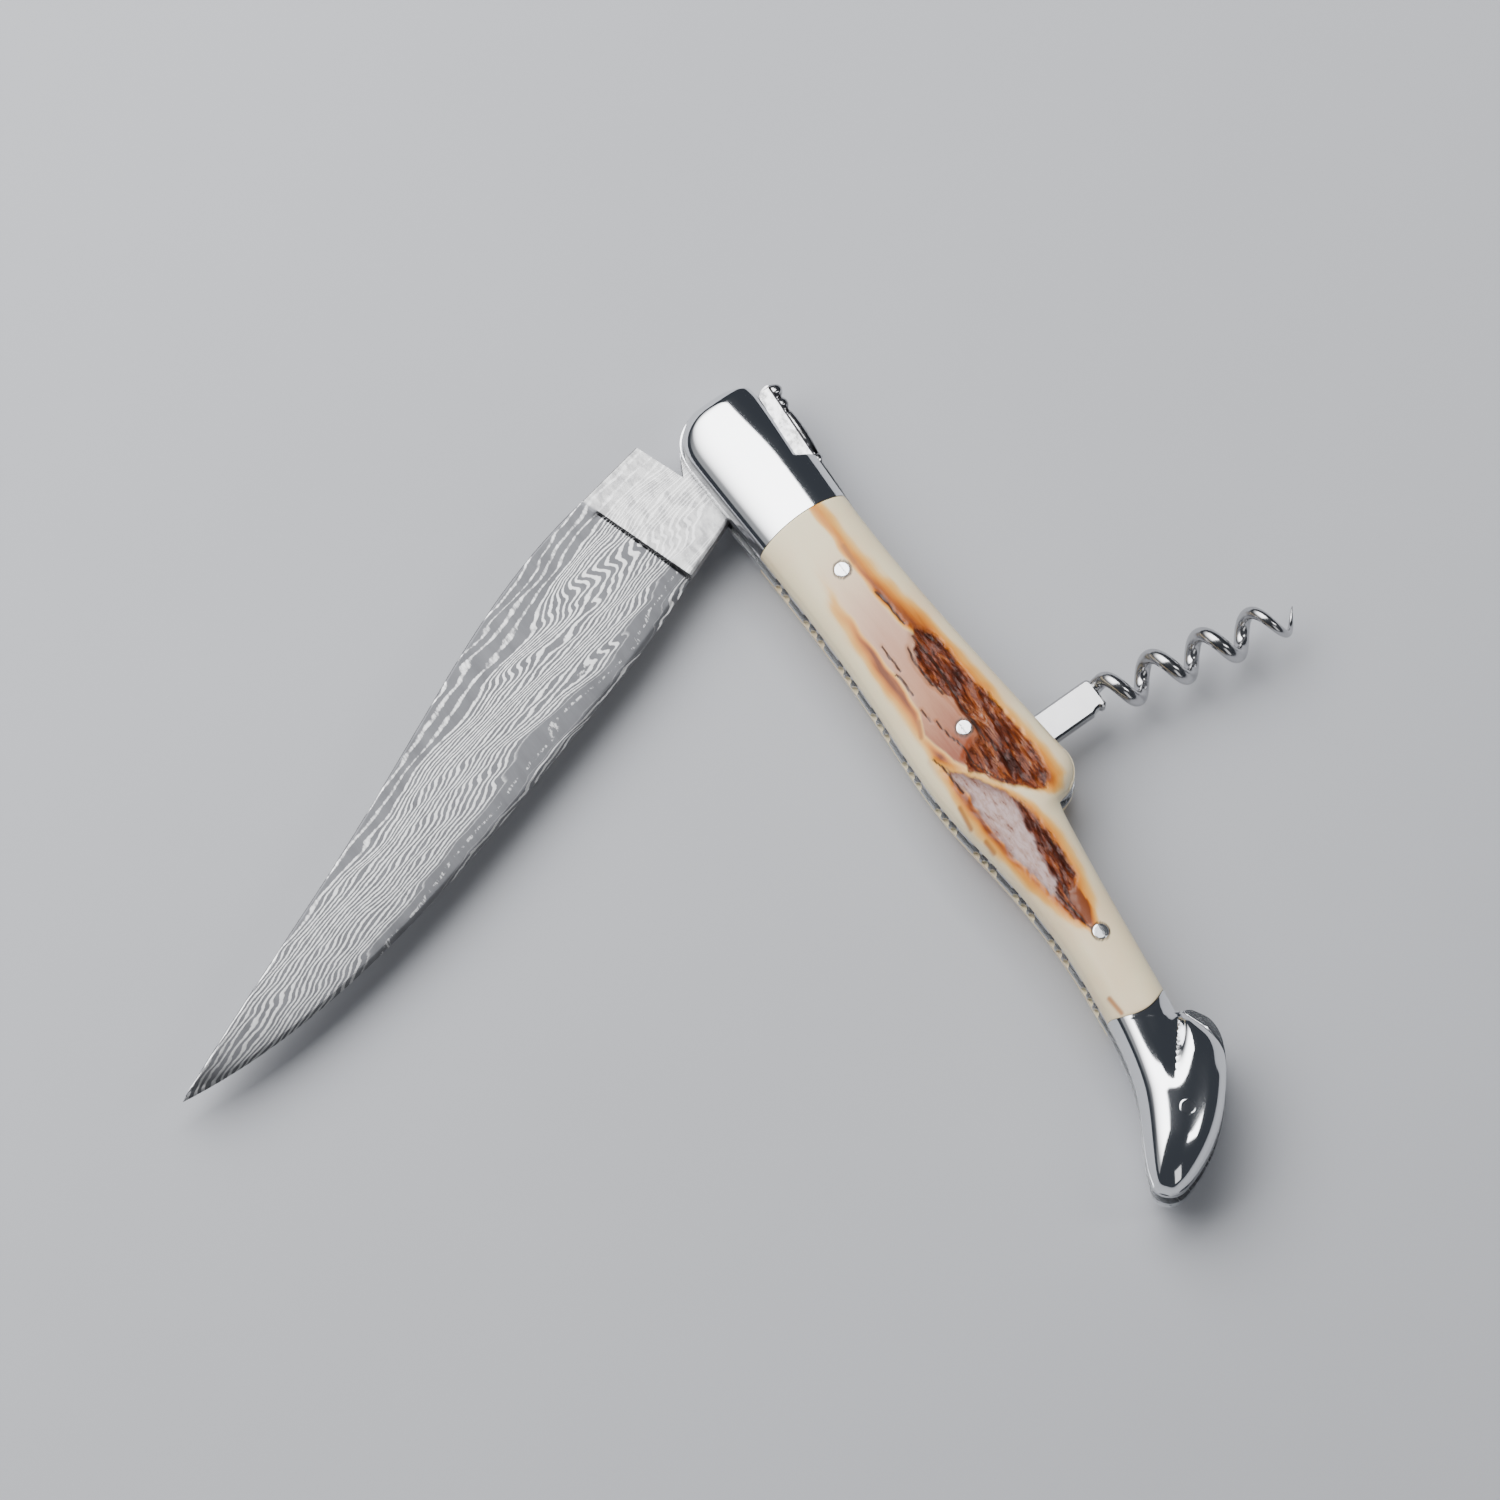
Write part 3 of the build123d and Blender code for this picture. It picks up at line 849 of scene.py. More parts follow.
def rear_valley(settings):
    """The crease that runs along the neck to the spur's notch and on into the bolster's face."""
    corners = np.array(VALLEY)
    lengths = np.linalg.norm(np.diff(corners, axis=0), axis=1)
    rim_stations = np.arange(*SPUR_RIM, 0.15)
    rim = [tuple(point) for point in shape.place(rim_stations, np.ones_like(rim_stations))]

    def carve(s, v, plan, height):
        nearest = np.full(height.shape, np.inf)
        down = np.zeros(height.shape)
        for k, (start, end) in enumerate(zip(corners, corners[1:])):
            along = (end - start) / lengths[k]
            offset = plan - start
            run = offset @ along
            share = np.clip(run, -2 if k == 0 else 0, lengths[k] if k == 0 else lengths[k] + 4)
            gap = offset - share[..., None] * along
            side = np.sign(along[0] * gap[..., 1] - along[1] * gap[..., 0])
            distance = np.hypot(gap[..., 0], gap[..., 1])
            closer = distance < np.abs(nearest)
            nearest = np.where(closer, side * distance, nearest)
            down = np.where(closer, share + (0 if k == 0 else lengths[0]), down)
        rise = smoothstep(0, lengths[0], down)
        fade = 1 - smoothstep(lengths[0] + 0.5, lengths[0] + lengths[1] + 0.5, down)
        width = settings.valley_width * np.where(nearest > 0, 1, VALLEY_FAR_SIDE)
        crease = np.exp(-((np.sqrt(nearest**2 + 0.09) / width) ** 1.4))
        strength = rise * fade * crease
        floor = settings.wall_height
        height = height + (floor - height) * np.clip(strength, 0, 1) * settings.valley_depth
        to_rim = np.clip(line_distance(plan[..., 0], plan[..., 1], rim) / settings.spur_round, 0, 1)
        rounded = floor + (height - floor) * (1 - (1 - to_rim) ** 2) ** 0.5
        share = (v > 0) * smoothstep(91, 93, s) * (1 - smoothstep(100, 102, s))
        return height + (rounded - height) * share

    return carve


class KNIFE_OT_bolsters(bpy.types.Operator):
    """Build the four polished bolsters"""

    bl_idname = "knife.bolsters"
    bl_label = "Bolsters"

    def execute(self, context):
        settings = context.scene.knife_covers
        steel = polished_steel("bolster_steel", settings.steel, settings.polish)
        parts = {
            "front_bolster": (
                lambda v: shape.start + 0 * v, lambda v: seam_front(v) - SEAM_GAP, None, 110
            ),
            "rear_bolster": (
                lambda v: seam_rear(v) + SEAM_GAP, lambda v: shape.end + 0 * v,
                rear_valley(settings), 260,
            ),
        }
        for name, (start, end, carve, rows) in parts.items():
            share = np.linspace(0, 1, rows)
            if name == "front_bolster":
                along = 1 - np.cos(share * math.pi / 2)
            else:
                along = np.sin(share * math.pi / 2)
            plan, height = cover_points(settings, start, end, along, carve)
            for side in SIDES:
                node = f"{side}_{name}"
                cover_piece(f"polished_{node}", plan, height, side, steel, [node])
        return {"FINISHED"}


# ------------------------------------------------------------------ scales


# The tusk's stained rings, heart and bark, its cracks and streaks, and the ridge between the
# two hollows of bark, seen from above, in millimetres.
FRONT_STAIN = [
    (12.3, 4.8), (17.4, 5.0), (21.4, 5.0), (25.4, 5.3), (30.4, 6.3), (35.4, 7.2), (40.4, 7.7),
    (45.4, 8.1), (50.4, 8.3), (55.4, 8.8), (58.4, 9.1), (60.9, 8.8), (62.2, 7.5), (62.2, 6.0),
    (61.2, 5.0), (59.4, 3.0), (57.4, 1.2), (55.4, -0.1), (53.1, -1.8), (50.4, -4.3), (46.4, -4.0),
    (42.4, -3.6), (36.4, -3.5), (30.4, -3.2), (25.4, -3.0), (21.4, -2.1), (17.4, -0.6), (12.3, 2.1),
]
REAR_STAIN = [
    (49.4, -3.2), (52.4, -2.1), (54.4, -1.1), (57.4, 1.1), (59.9, 2.4), (62.4, 3.2), (65.3, 3.8),
    (68.3, 3.8), (72.3, 3.2), (75.3, 2.5), (77.8, 1.6), (79.8, 0.2), (80.3, -0.8), (78.3, -2.0),
    (75.3, -3.1), (70.3, -3.9), (65.3, -4.5), (60.4, -5.0), (55.4, -4.8), (50.4, -4.3),
]
FRONT_HEART = [
    (10.3, 3.0), (17.4, 3.2), (21.4, 3.0), (25.4, 3.1), (28.4, 3.2), (33.4, 3.6), (35.4, 4.5),
    (40.4, 5.2), (48.4, 5.5), (56.4, 5.5), (58.9, 4.2), (58.1, 2.5), (55.6, 0.3), (53.4, -1.2),
    (51.4, -2.5), (48.4, -3.1), (46.4, -3.4), (43.4, -2.4), (40.4, -1.9), (36.4, -1.9),
    (31.4, -1.9), (27.4, -1.9), (23.4, -1.4), (18.4, -0.5), (10.3, 0.8),
]
REAR_HEART = [
    (49.4, -3.9), (53.4, -2.1), (56.4, 0), (59.4, 1.1), (62.4, 1.8), (66.3, 2.0), (70.3, 2.0),
    (72.6, 1.1), (73.3, 0), (74.3, -1.2), (76.3, -1.6), (72.3, -2.5), (69.3, -2.9), (65.3, -3.4),
    (60.4, -3.5), (55.9, -3.5), (52.4, -3.6),
]
FRONT_BARK = [
    (33.9, 4.2), (34.6, 5.2), (36.1, 5.8), (38.4, 6.2), (41.4, 6.3), (45.0, 6.3), (46.0, 6.8),
    (48.4, 7.2), (52.4, 7.5), (55.9, 7.5), (57.9, 7.0), (59.9, 6.7), (61.0, 5.8), (60.6, 4.3),
    (58.8, 2.6), (56.9, 1.1), (55.1, -0.3), (53.4, -1.4), (51.9, -0.8), (51.4, 0.8), (50.2, 2.6),
    (47.4, 2.4), (45.0, 2.6), (43.6, 2.0), (40.9, 1.6), (38.4, 1.4), (36.1, 2.2), (36.0, 3.1),
]
REAR_BARK = [
    (52.6, -2.1), (55.6, -0.6), (57.6, 0.7), (59.4, 1.4), (61.1, 1.9), (63.4, 2.2), (66.3, 2.4),
    (70.3, 2.4), (72.5, 2.0), (73.6, 0.9), (73.9, -0.2), (76.3, -0.9), (79.8, -0.8), (76.8, -2.0),
    (72.3, -2.5), (69.3, -3.0), (65.3, -3.4), (60.4, -3.5), (55.9, -3.5), (51.9, -3.6),
    (49.8, -3.8), (51.6, -3.0),
]
ROUGH_REAR = [
    (59.4, 1.1), (61.4, 1.9), (64.3, 2.2), (66.3, 2.4), (70.3, 2.4), (72.6, 2.0), (73.8, 0.6),
    (73.9, -0.5), (76.3, -1.1), (79.8, -0.8), (76.3, -2.0), (73.1, -1.8), (71.3, -0.8),
    (67.3, -0.3), (64.8, 0.3), (61.9, 0.9),
]
DARK_CRACKS = [
    [(27.6, 3.1), (29.4, 3.4), (33.1, 3.6)],
    [(33.9, -0.5), (35.8, -0.55), (37.9, -0.45)],
    [(37.9, -1.2), (39.1, -1.0), (41.4, -1.1)],
    [(43.6, -1.4), (45.6, -1.2)],
    [(45.9, -0.7), (48.4, -0.5), (50.4, 0.1), (52.9, 0), (55.4, 0.7), (57.9, 2.0)],
    [(35.9, 2.1), (38.4, 1.6), (41.4, 1.8), (43.6, 2.2)],
    [(34.9, 3.6), (40.4, 3.8), (43.4, 3.5), (46.4, 3.1), (50.4, 3.0), (53.4, 3.4)],
    [(72.9, -1.6), (76.3, -1.2), (79.8, -0.8)],
    [(49.6, -3.8), (52.4, -3.4), (55.4, -3.4)],
]
BROWN_STREAKS = [
    [(20.2, 3.4), (22.8, 3.2)],
    [(44.6, -2.5), (46.4, -3.4)],
    [(56.6, -4.8), (58.1, -5.0), (59.6, -5.2)],
    [(62.1, -4.7), (63.9, -4.7)],
    [(88.1, -4.3), (90.6, -4.2)],
]
RIDGE = [(63.4, 5.2), (60.6, 3.4), (57.2, 1.0), (53.4, -1.6)]
RIDGE_WIDTH = 0.9
CRACK_WIDTH = 0.26
CRACK_DEPTH = 0.16
STREAK_WIDTH = 0.55
# Width and depth of the rounding along the scale's seams, and its least height.
SEAM_EASING = (0.35, 0.12)
THINNEST = 0.05


def pin_circle(node):
    """Centre and radius of an upright CAD pin, in millimetres."""
    low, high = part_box(node)
    return (low.x + high.x) / 2 / MM, (low.y + high.y) / 2 / MM, (high.x - low.x) / 2 / MM


SCALE_PINS = [pin_circle(f"upper_scale_pin_{place}") for place in PIN_PLACES]


def crack_strength(x, y, routes, width):
    """1 on any of these lines and 0 beyond their width."""
    return np.max(
        [np.clip(1 - line_distance(x, y, route) / width, 0, 1) for route in routes], axis=0
    )


def pin_ring(x, y, pin):
    """1 in the thin dark gap round a pin, 0 elsewhere."""
    gap = np.hypot(x - pin[0], y - pin[1]) - pin[2]
    return 1 - smoothstep(0.05, 0.22, np.abs(gap - 0.02))


def tusk_features(plan):
    """Strengths between 0 and 1, and a depth into the bark, that colour and carve the tusk."""
    x, y = plan[..., 0], plan[..., 1]
    bent_x = x + 0.7 * ripple(x, y, 0.30, 0.35, 1.0)
    bent_y = y + 0.30 * ripple(x, y, 0.40, 0.6, 4.0)
    ragged_y = bent_y + 0.35 * ripple(x, y, 0.9, 1.6, 9.0)
    stain = np.maximum(
        signed_distance(bent_x, bent_y, FRONT_STAIN), signed_distance(bent_x, bent_y, REAR_STAIN)
    )
    front_heart = signed_distance(bent_x, bent_y, FRONT_HEART)
    rear_heart = signed_distance(bent_x, bent_y, REAR_HEART)
    heart = np.maximum(front_heart, rear_heart)
    front = signed_distance(bent_x, ragged_y, FRONT_BARK)
    rear = signed_distance(bent_x, ragged_y, REAR_BARK)
    rough = np.maximum(front, signed_distance(bent_x, ragged_y, ROUGH_REAR))
    outer = smoothstep(-0.8, 2.3, stain) ** 0.8
    inner = 1 - smoothstep(-0.3, 0.9, heart)
    belly_start = np.where(
        y < 1.0, 1.35 * smoothstep(17, 36, x), 0.75 + 0.25 * smoothstep(14, 30, x)
    )
    return {
        "bark": np.maximum(front, rear),
        "rough": smoothstep(-0.25, 0.45, rough),
        "amber": np.clip(outer * inner * belly_start, 0, 1),
        "heart": smoothstep(-1.2, 0.3, heart) * smoothstep(14, 32, x),
        # The smoother rear bark, which is given a painted sheen.
        "painted_sheen": smoothstep(-0.3, 1.0, rear) * (1 - smoothstep(73, 76, x)),
        "crack": crack_strength(
            x, y + 0.18 * ripple(x, y, 1.0, 1.0, 21.0), DARK_CRACKS, CRACK_WIDTH
        ),
        "streak": crack_strength(x, y, BROWN_STREAKS, STREAK_WIDTH),
        "ring": np.max([pin_ring(x, y, pin) for pin in SCALE_PINS], axis=0),
    }


def carved_scale(settings, marks):
    """The scale's surface with its sunken bark, its ridge and its cracks."""

    def carve(s, v, plan, height):
        x, y = plan[..., 0], plan[..., 1]
        features = tusk_features(plan)
        bark = features["bark"]
        marks.update(features)
        sink = smoothstep(-0.7, 1.2, bark)
        coarse = ripple(x, y, 0.22, 0.9, 7.0)
        fine = ripple(x + 2.0 * coarse, y, 0.55, 2.4, 11.0)
        ledges = 1 - np.abs(ripple(x, y + 0.10 * x, 0.14, 1.15, 15.0)) * 2.4
        relief = 0.38 * coarse + 0.34 * fine + 0.30 * np.clip(ledges, -0.5, 1)
        depth = settings.bark_depth * sink * 0.75 + features["rough"] * settings.bark_depth * relief
        ridge = np.exp(-((line_distance(x, y, RIDGE) / RIDGE_WIDTH) ** 2))
        depth = depth * (1 - 0.9 * ridge) - 0.10 * ridge * smoothstep(-2, 0.5, bark)
        depth = depth + CRACK_DEPTH * features["crack"]
        from_pin = np.min([np.hypot(x - pin[0], y - pin[1]) - pin[2] for pin in SCALE_PINS], axis=0)
        depth = depth * smoothstep(0.1, 1.0, from_pin)
        inner = height - np.maximum(depth, -0.12)
        for distance in (s - seam_front(v), seam_rear(v) - s):
            inner = inner - edge_drop(distance, *SEAM_EASING)
        return np.clip(inner, THINNEST, CROWN - COVER_BASE)

    return carve


class KNIFE_OT_scales(bpy.types.Operator):
    """Build the two tusk scales with their bark"""

    bl_idname = "knife.scales"
    bl_label = "Scales"

    def execute(self, context):
        covers = context.scene.knife_covers
        settings = context.scene.knife_scales
        material = tusk("scale_tusk", settings)
        # Shares of the length where rows lie closer together, at each end.
        ends = np.array([0, 0.0008, 0.002, 0.0035])
        along = np.concatenate([ends, np.linspace(0.006, 0.994, 290), 1 - ends[::-1]])
        marks = {}
        plan, height = cover_points(
            covers, lambda v: seam_front(v) + SEAM_GAP, lambda v: seam_rear(v) - SEAM_GAP, along,
            carved_scale(settings, marks),
        )
        for side in SIDES:
            node = f"{side}_scale"
            piece = cover_piece(f"tusk_{node}", plan, height, side, material, [node])
            for name, values in marks.items():
                set_attribute(piece, name, np.pad(values, ((0, 0), (1, 1)), mode="edge"))
        return {"FINISHED"}


# ------------------------------------------------------------------ pins and liners


def rib_position(x, y):
    """Station along the handle and place across it of a point seen from above."""
    bend_centre = centre_height(HOOK_START) - HOOK_RADIUS
    if x > HOOK_START:
        turn = math.atan2(x - HOOK_START, y - bend_centre)
        s = HOOK_START + HOOK_RADIUS * turn
        aside = math.hypot(x - HOOK_START, y - bend_centre) - HOOK_RADIUS
    else:
        s, aside = x, y - float(centre_height(x))
    half = np.interp(s, shape.stations, shape.back if aside > 0 else shape.belly)
    return s, aside / half


class KNIFE_OT_pins(bpy.types.Operator):
    """Build the polished pin ends and give the hidden pins their steel"""

    bl_idname = "knife.pins"
    bl_label = "Pins"

    SCALE_PIN_PROUD = 0.08
    BOLSTER_PIN_PROUD = 0.03

    def execute(self, context):
        covers = context.scene.knife_covers
        steel = polished_steel("pin_steel", (0.74, 0.75, 0.77), 0.16, 0.10, (1, 1, 1))
        bolster_steel = bpy.data.materials["bolster_steel"]
        carve_rear = rear_valley(covers)
        for side in SIDES:
            for place in PIN_PLACES:
                node = f"{side}_scale_pin_{place}"
                self.cap(covers, node, side, steel, "pin_steel", None, self.SCALE_PIN_PROUD, [node])
        for side in SIDES:
            self.cap(
                covers, "rear_bolster_pin", side, bolster_steel, "bolster_steel", carve_rear,
                self.BOLSTER_PIN_PROUD,
                ["rear_bolster_pin"] if side == "upper" else [],
            )
        for name in ("blade_pivot_pin", "corkscrew_pivot_pin", "spring_middle_pin"):
            paint(name, steel)
        return {"FINISHED"}

    def cap(self, covers, node, side, material, slot, carve, proud, replaced):
        """A pin end that follows the cover's surface and stands slightly proud of it."""
        low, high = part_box(node)
        centre = (low + high) / 2 / MM
        radius = (high.x - low.x) / 2 / MM - 0.02
        rings = np.array([1, 1, 0.97, 0.90, 0.75, 0.5, 0.25]) * radius
        drops = np.array([0, 0.10, 0.04, 0.0, 0, 0, 0])
        angles = np.linspace(0, 2 * math.pi, 48, endpoint=False)
        tops = []
        highest = CROWN - COVER_BASE
        for ring, drop in zip(rings[1:], drops[1:]):
            for angle in angles:
                x, y = centre.x + ring * math.cos(angle), centre.y + ring * math.sin(angle)
                tops.append((x, y, min(self.surface(covers, carve, x, y) + proud, highest) - drop))
        top = min(self.surface(covers, carve, centre.x, centre.y) + proud, highest)
        base = [
            (centre.x + radius * math.cos(a), centre.y + radius * math.sin(a), 0.0) for a in angles
        ]
        points = np.array(base + tops + [(centre.x, centre.y, top)])
        points[:, 2] += COVER_BASE
        faces = loft_faces(len(rings), len(angles), closed=True, caps=False)
        faces.append(tuple(reversed(range(len(angles)))))
        tip = len(points) - 1
        first = (len(rings) - 1) * len(angles)
        for j in range(len(angles)):
            faces.append((first + j, first + (j + 1) % len(angles), tip))
        if side == "lower":
            points[:, 2] = CROWN - points[:, 2]
            faces = flipped(faces)
        name = f"{node}_end" if node.startswith(side) else f"{side}_{node}_end"
        make_piece(name, points, faces, "handle", replaced, material)

    def surface(self, covers, carve, x, y):
        """Height above the liner of the cover's surface at a point."""
        s, v = (np.array([value]) for value in rib_position(x, y))
        plan = np.array([(x, y)])
        height = shape.dome(s, v, covers)
        return float(carve(s, v, plan, height)[0] if carve else height[0])


def paint(node, material):
    """Gives a CAD node another material."""
    piece = frame["nodes"][node]
    piece.data.materials.clear()
    piece.data.materials.append(material)


class KNIFE_OT_liners(bpy.types.Operator):
    """Give the filed liners their polished steel"""

    bl_idname = "knife.liners"
    bl_label = "Liners"

    def execute(self, context):
        steel = polished_steel("liner_steel", (0.55, 0.56, 0.58), 0.20, 0.12)
        for side in SIDES:
            paint(f"{side}_liner", steel)
        return {"FINISHED"}


# ------------------------------------------------------------------ spring

LEAF_RAISED = math.radians(3.24)


class KNIFE_OT_spring(bpy.types.Operator):
    """Build the back spring as one strip with a filed head"""

    bl_idname = "knife.spring"
    bl_label = "Spring"

    HALF_WIDTH = 1.45
    HEAD_END = 8.4

    # X, inner edge, back edge and half width of the back along the seated spring.
    PROFILE = [
        (-4.10, 7.10, 7.75, 0.80), (-3.95, 6.20, 8.40, 1.10), (-3.55, 5.70, 8.85, 1.36),
        (-3.05, 5.50, 8.98, 1.42), (-2.60, 5.50, 8.82, 1.38), (-2.28, 5.50, 8.35, 1.05),
        (-2.05, 5.49, 8.28, 1.00), (-1.80, 5.49, 8.45, 1.20), (-1.35, 5.48, 8.62, 1.40),
        (-0.80, 5.47, 8.58, 1.38), (-0.45, 5.46, 8.25, 1.05), (-0.20, 5.46, 8.15, 0.98),
        (0.10, 5.45, 8.20, 1.00), (0.50, 5.44, 8.38, 1.25), (1.40, 5.42, 8.50, 1.38),
        (3.00, 5.38, 8.56, 1.40), (4.60, 5.34, 8.50, 1.30), (5.80, 5.30, 8.38, 1.10),
        (6.50, 5.28, 8.28, 0.98), (6.80, 5.27, 8.26, 0.96), (7.15, 5.26, 8.42, 1.28),
        (7.60, 5.25, 8.38, 1.36), (8.05, 5.40, 8.10, 1.20), (8.50, 5.58, 7.98, 1.45),
        (9.0, 5.60, 7.98, 1.45), (12.0, 5.60, 8.10, 1.45), (24.0, 5.60, 8.15, 1.45),
        (35.5, 4.62, 8.90, 1.45), (44.0, 4.25, 9.60, 1.45), (49.4, 3.86, 9.95, 1.45),
        (50.4, 3.75, 7.20, 1.45), (51.2, 3.63, 6.25, 1.45), (51.8, 3.54, 5.65, 1.45),
        (52.6, 3.42, 5.28, 1.45), (53.5, 3.30, 5.12, 1.45), (58.0, 2.75, 4.90, 1.45),
        (62.7, 2.15, 5.90, 1.45), (70.4, 1.10, 4.90, 1.45), (81.0, -0.95, 3.50, 1.45),
        (94.0, -4.50, 1.80, 1.45), (100.0, -6.60, 0.00, 1.45), (104.6, -7.90, -1.90, 1.45),
        (107.6, -6.90, -4.60, 1.20),
    ]

    def execute(self, context):
        settings = context.scene.knife_spring
        steel = filed_steel("spring_steel", settings)
        knots = np.array(self.PROFILE)
        x = np.unique(np.concatenate([
            np.arange(-4.1, 9.0, 0.08), np.arange(9, 49, 0.8), np.arange(49, 54, 0.1),
            np.arange(54, 107.6, 0.8),
            [107.6],
        ]))
        inner, back, width = (np.interp(x, knots[:, 0], knots[:, k]) for k in (1, 2, 3))
        head = x < self.HEAD_END
        for values in (inner, back, width):
            values[head] = blurred(values, 1.3)[head]
        groove = settings.groove * (1 - smoothstep(7.8, self.HEAD_END, x)) * smoothstep(
            -3.9, -3.4, x
        )
        flat = self.HALF_WIDTH
        line = np.where(head, np.minimum(back - 0.75, 7.45), back - 0.6)
        line = np.maximum(line, inner + 0.12)
        arc = np.linspace(0, math.pi, 13)
        side = [
            (inner, np.full_like(x, flat - 0.10)), (inner + 0.10, np.full_like(x, flat)),
            (line - 0.16, np.full_like(x, flat)), (line - 0.04, flat - groove),
            (line + 0.06, flat - groove),
            (line + 0.14, np.minimum(width, flat)),
        ]
        section = list(side)
        for angle in arc[1:-1]:
            bulge = np.maximum(math.sin(angle), 0) ** 0.75
            reach_z = np.sign(math.cos(angle)) * abs(math.cos(angle)) ** 0.6
            section.append(
                (line + 0.14 + (back - line - 0.14) * bulge, np.minimum(width, flat) * reach_z)
            )
        section.extend((y, -z) for y, z in reversed(side))
        rows = np.stack([np.stack([x, y, MIDDLE + z], -1) for y, z in section], axis=1)
        points = self.raised(rows.reshape(-1, 3))
        faces = flipped(loft_faces(len(x), len(section), closed=True))
        piece = make_piece(
            "filed_back_spring", points, faces, None, ["spring_leaf", "backspring"],
            steel
        )
        # Painted shade: the narrow waists of the filed head and the groove's floor are marked here to
        # be painted near-black.
        waist = np.clip((1.28 - width) / 0.3, 0, 1) * (x < 8.3)
        hollow_shade = np.repeat(waist[:, None], len(section), axis=1)
        hollow_shade[:, :len(side)] = 0
        hollow_shade[:, -len(side):] = 0
        # The rows of the section along the groove's floor, on its two sides.
        for column in (3, 4, -5, -4):
            hollow_shade[:, column] = (x > -3.7) & (x < 8.2)
        set_attribute(piece, "hollow_shade", hollow_shade)
        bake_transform(piece)
        return {"FINISHED"}

    def raised(self, points):
        """The strip lifted at its head, where the half-open blade holds it up."""
        bend = np.array(LEAF_BEND) / MM
        weight = 1 - smoothstep(8, 30, points[:, 0])
        turn = -LEAF_RAISED
        offset = points[:, :2] - bend[:2]
        turned = np.stack([
            offset[:, 0] * math.cos(turn) - offset[:, 1] * math.sin(turn),
            offset[:, 0] * math.sin(turn) + offset[:, 1] * math.cos(turn),
        ], -1) + bend[:2]
        lifted = points.copy()
        lifted[:, :2] += (turned - points[:, :2]) * weight[:, None]
        return lifted


# ------------------------------------------------------------------ blade


# Heights between which a drill cuts, in millimetres.
DRILL_SPAN = (-5, 20)


def drill(piece, centre, radius):
    """Cuts a round hole along Z through a piece, at a place in millimetres."""
    angles = np.linspace(0, 2 * math.pi, 64, endpoint=False)
    ring = [(centre[0] + radius * math.cos(a), centre[1] + radius * math.sin(a)) for a in angles]
    points = np.array([(x, y, z) for z in DRILL_SPAN for x, y in ring])
    faces = loft_faces(2, len(ring), closed=True)
    mesh = bpy.data.meshes.new("drill")
    mesh.from_pydata([tuple(p * MM) for p in points], [], faces)
    cutter = bpy.data.objects.new("drill", mesh)
    bpy.context.scene.collection.objects.link(cutter)
    cut = piece.modifiers.new("hole", "BOOLEAN")
    cut.operation = "DIFFERENCE"
    cut.solver = "EXACT"
    cut.object = cutter
    bpy.context.view_layer.update()
    evaluated = piece.evaluated_get(bpy.context.evaluated_depsgraph_get())
    drilled = bpy.data.meshes.new_from_object(evaluated)
    piece.modifiers.clear()
    old = piece.data
    piece.data = drilled
    bpy.data.meshes.remove(old)
    bpy.data.objects.remove(cutter)
    smooth(piece)


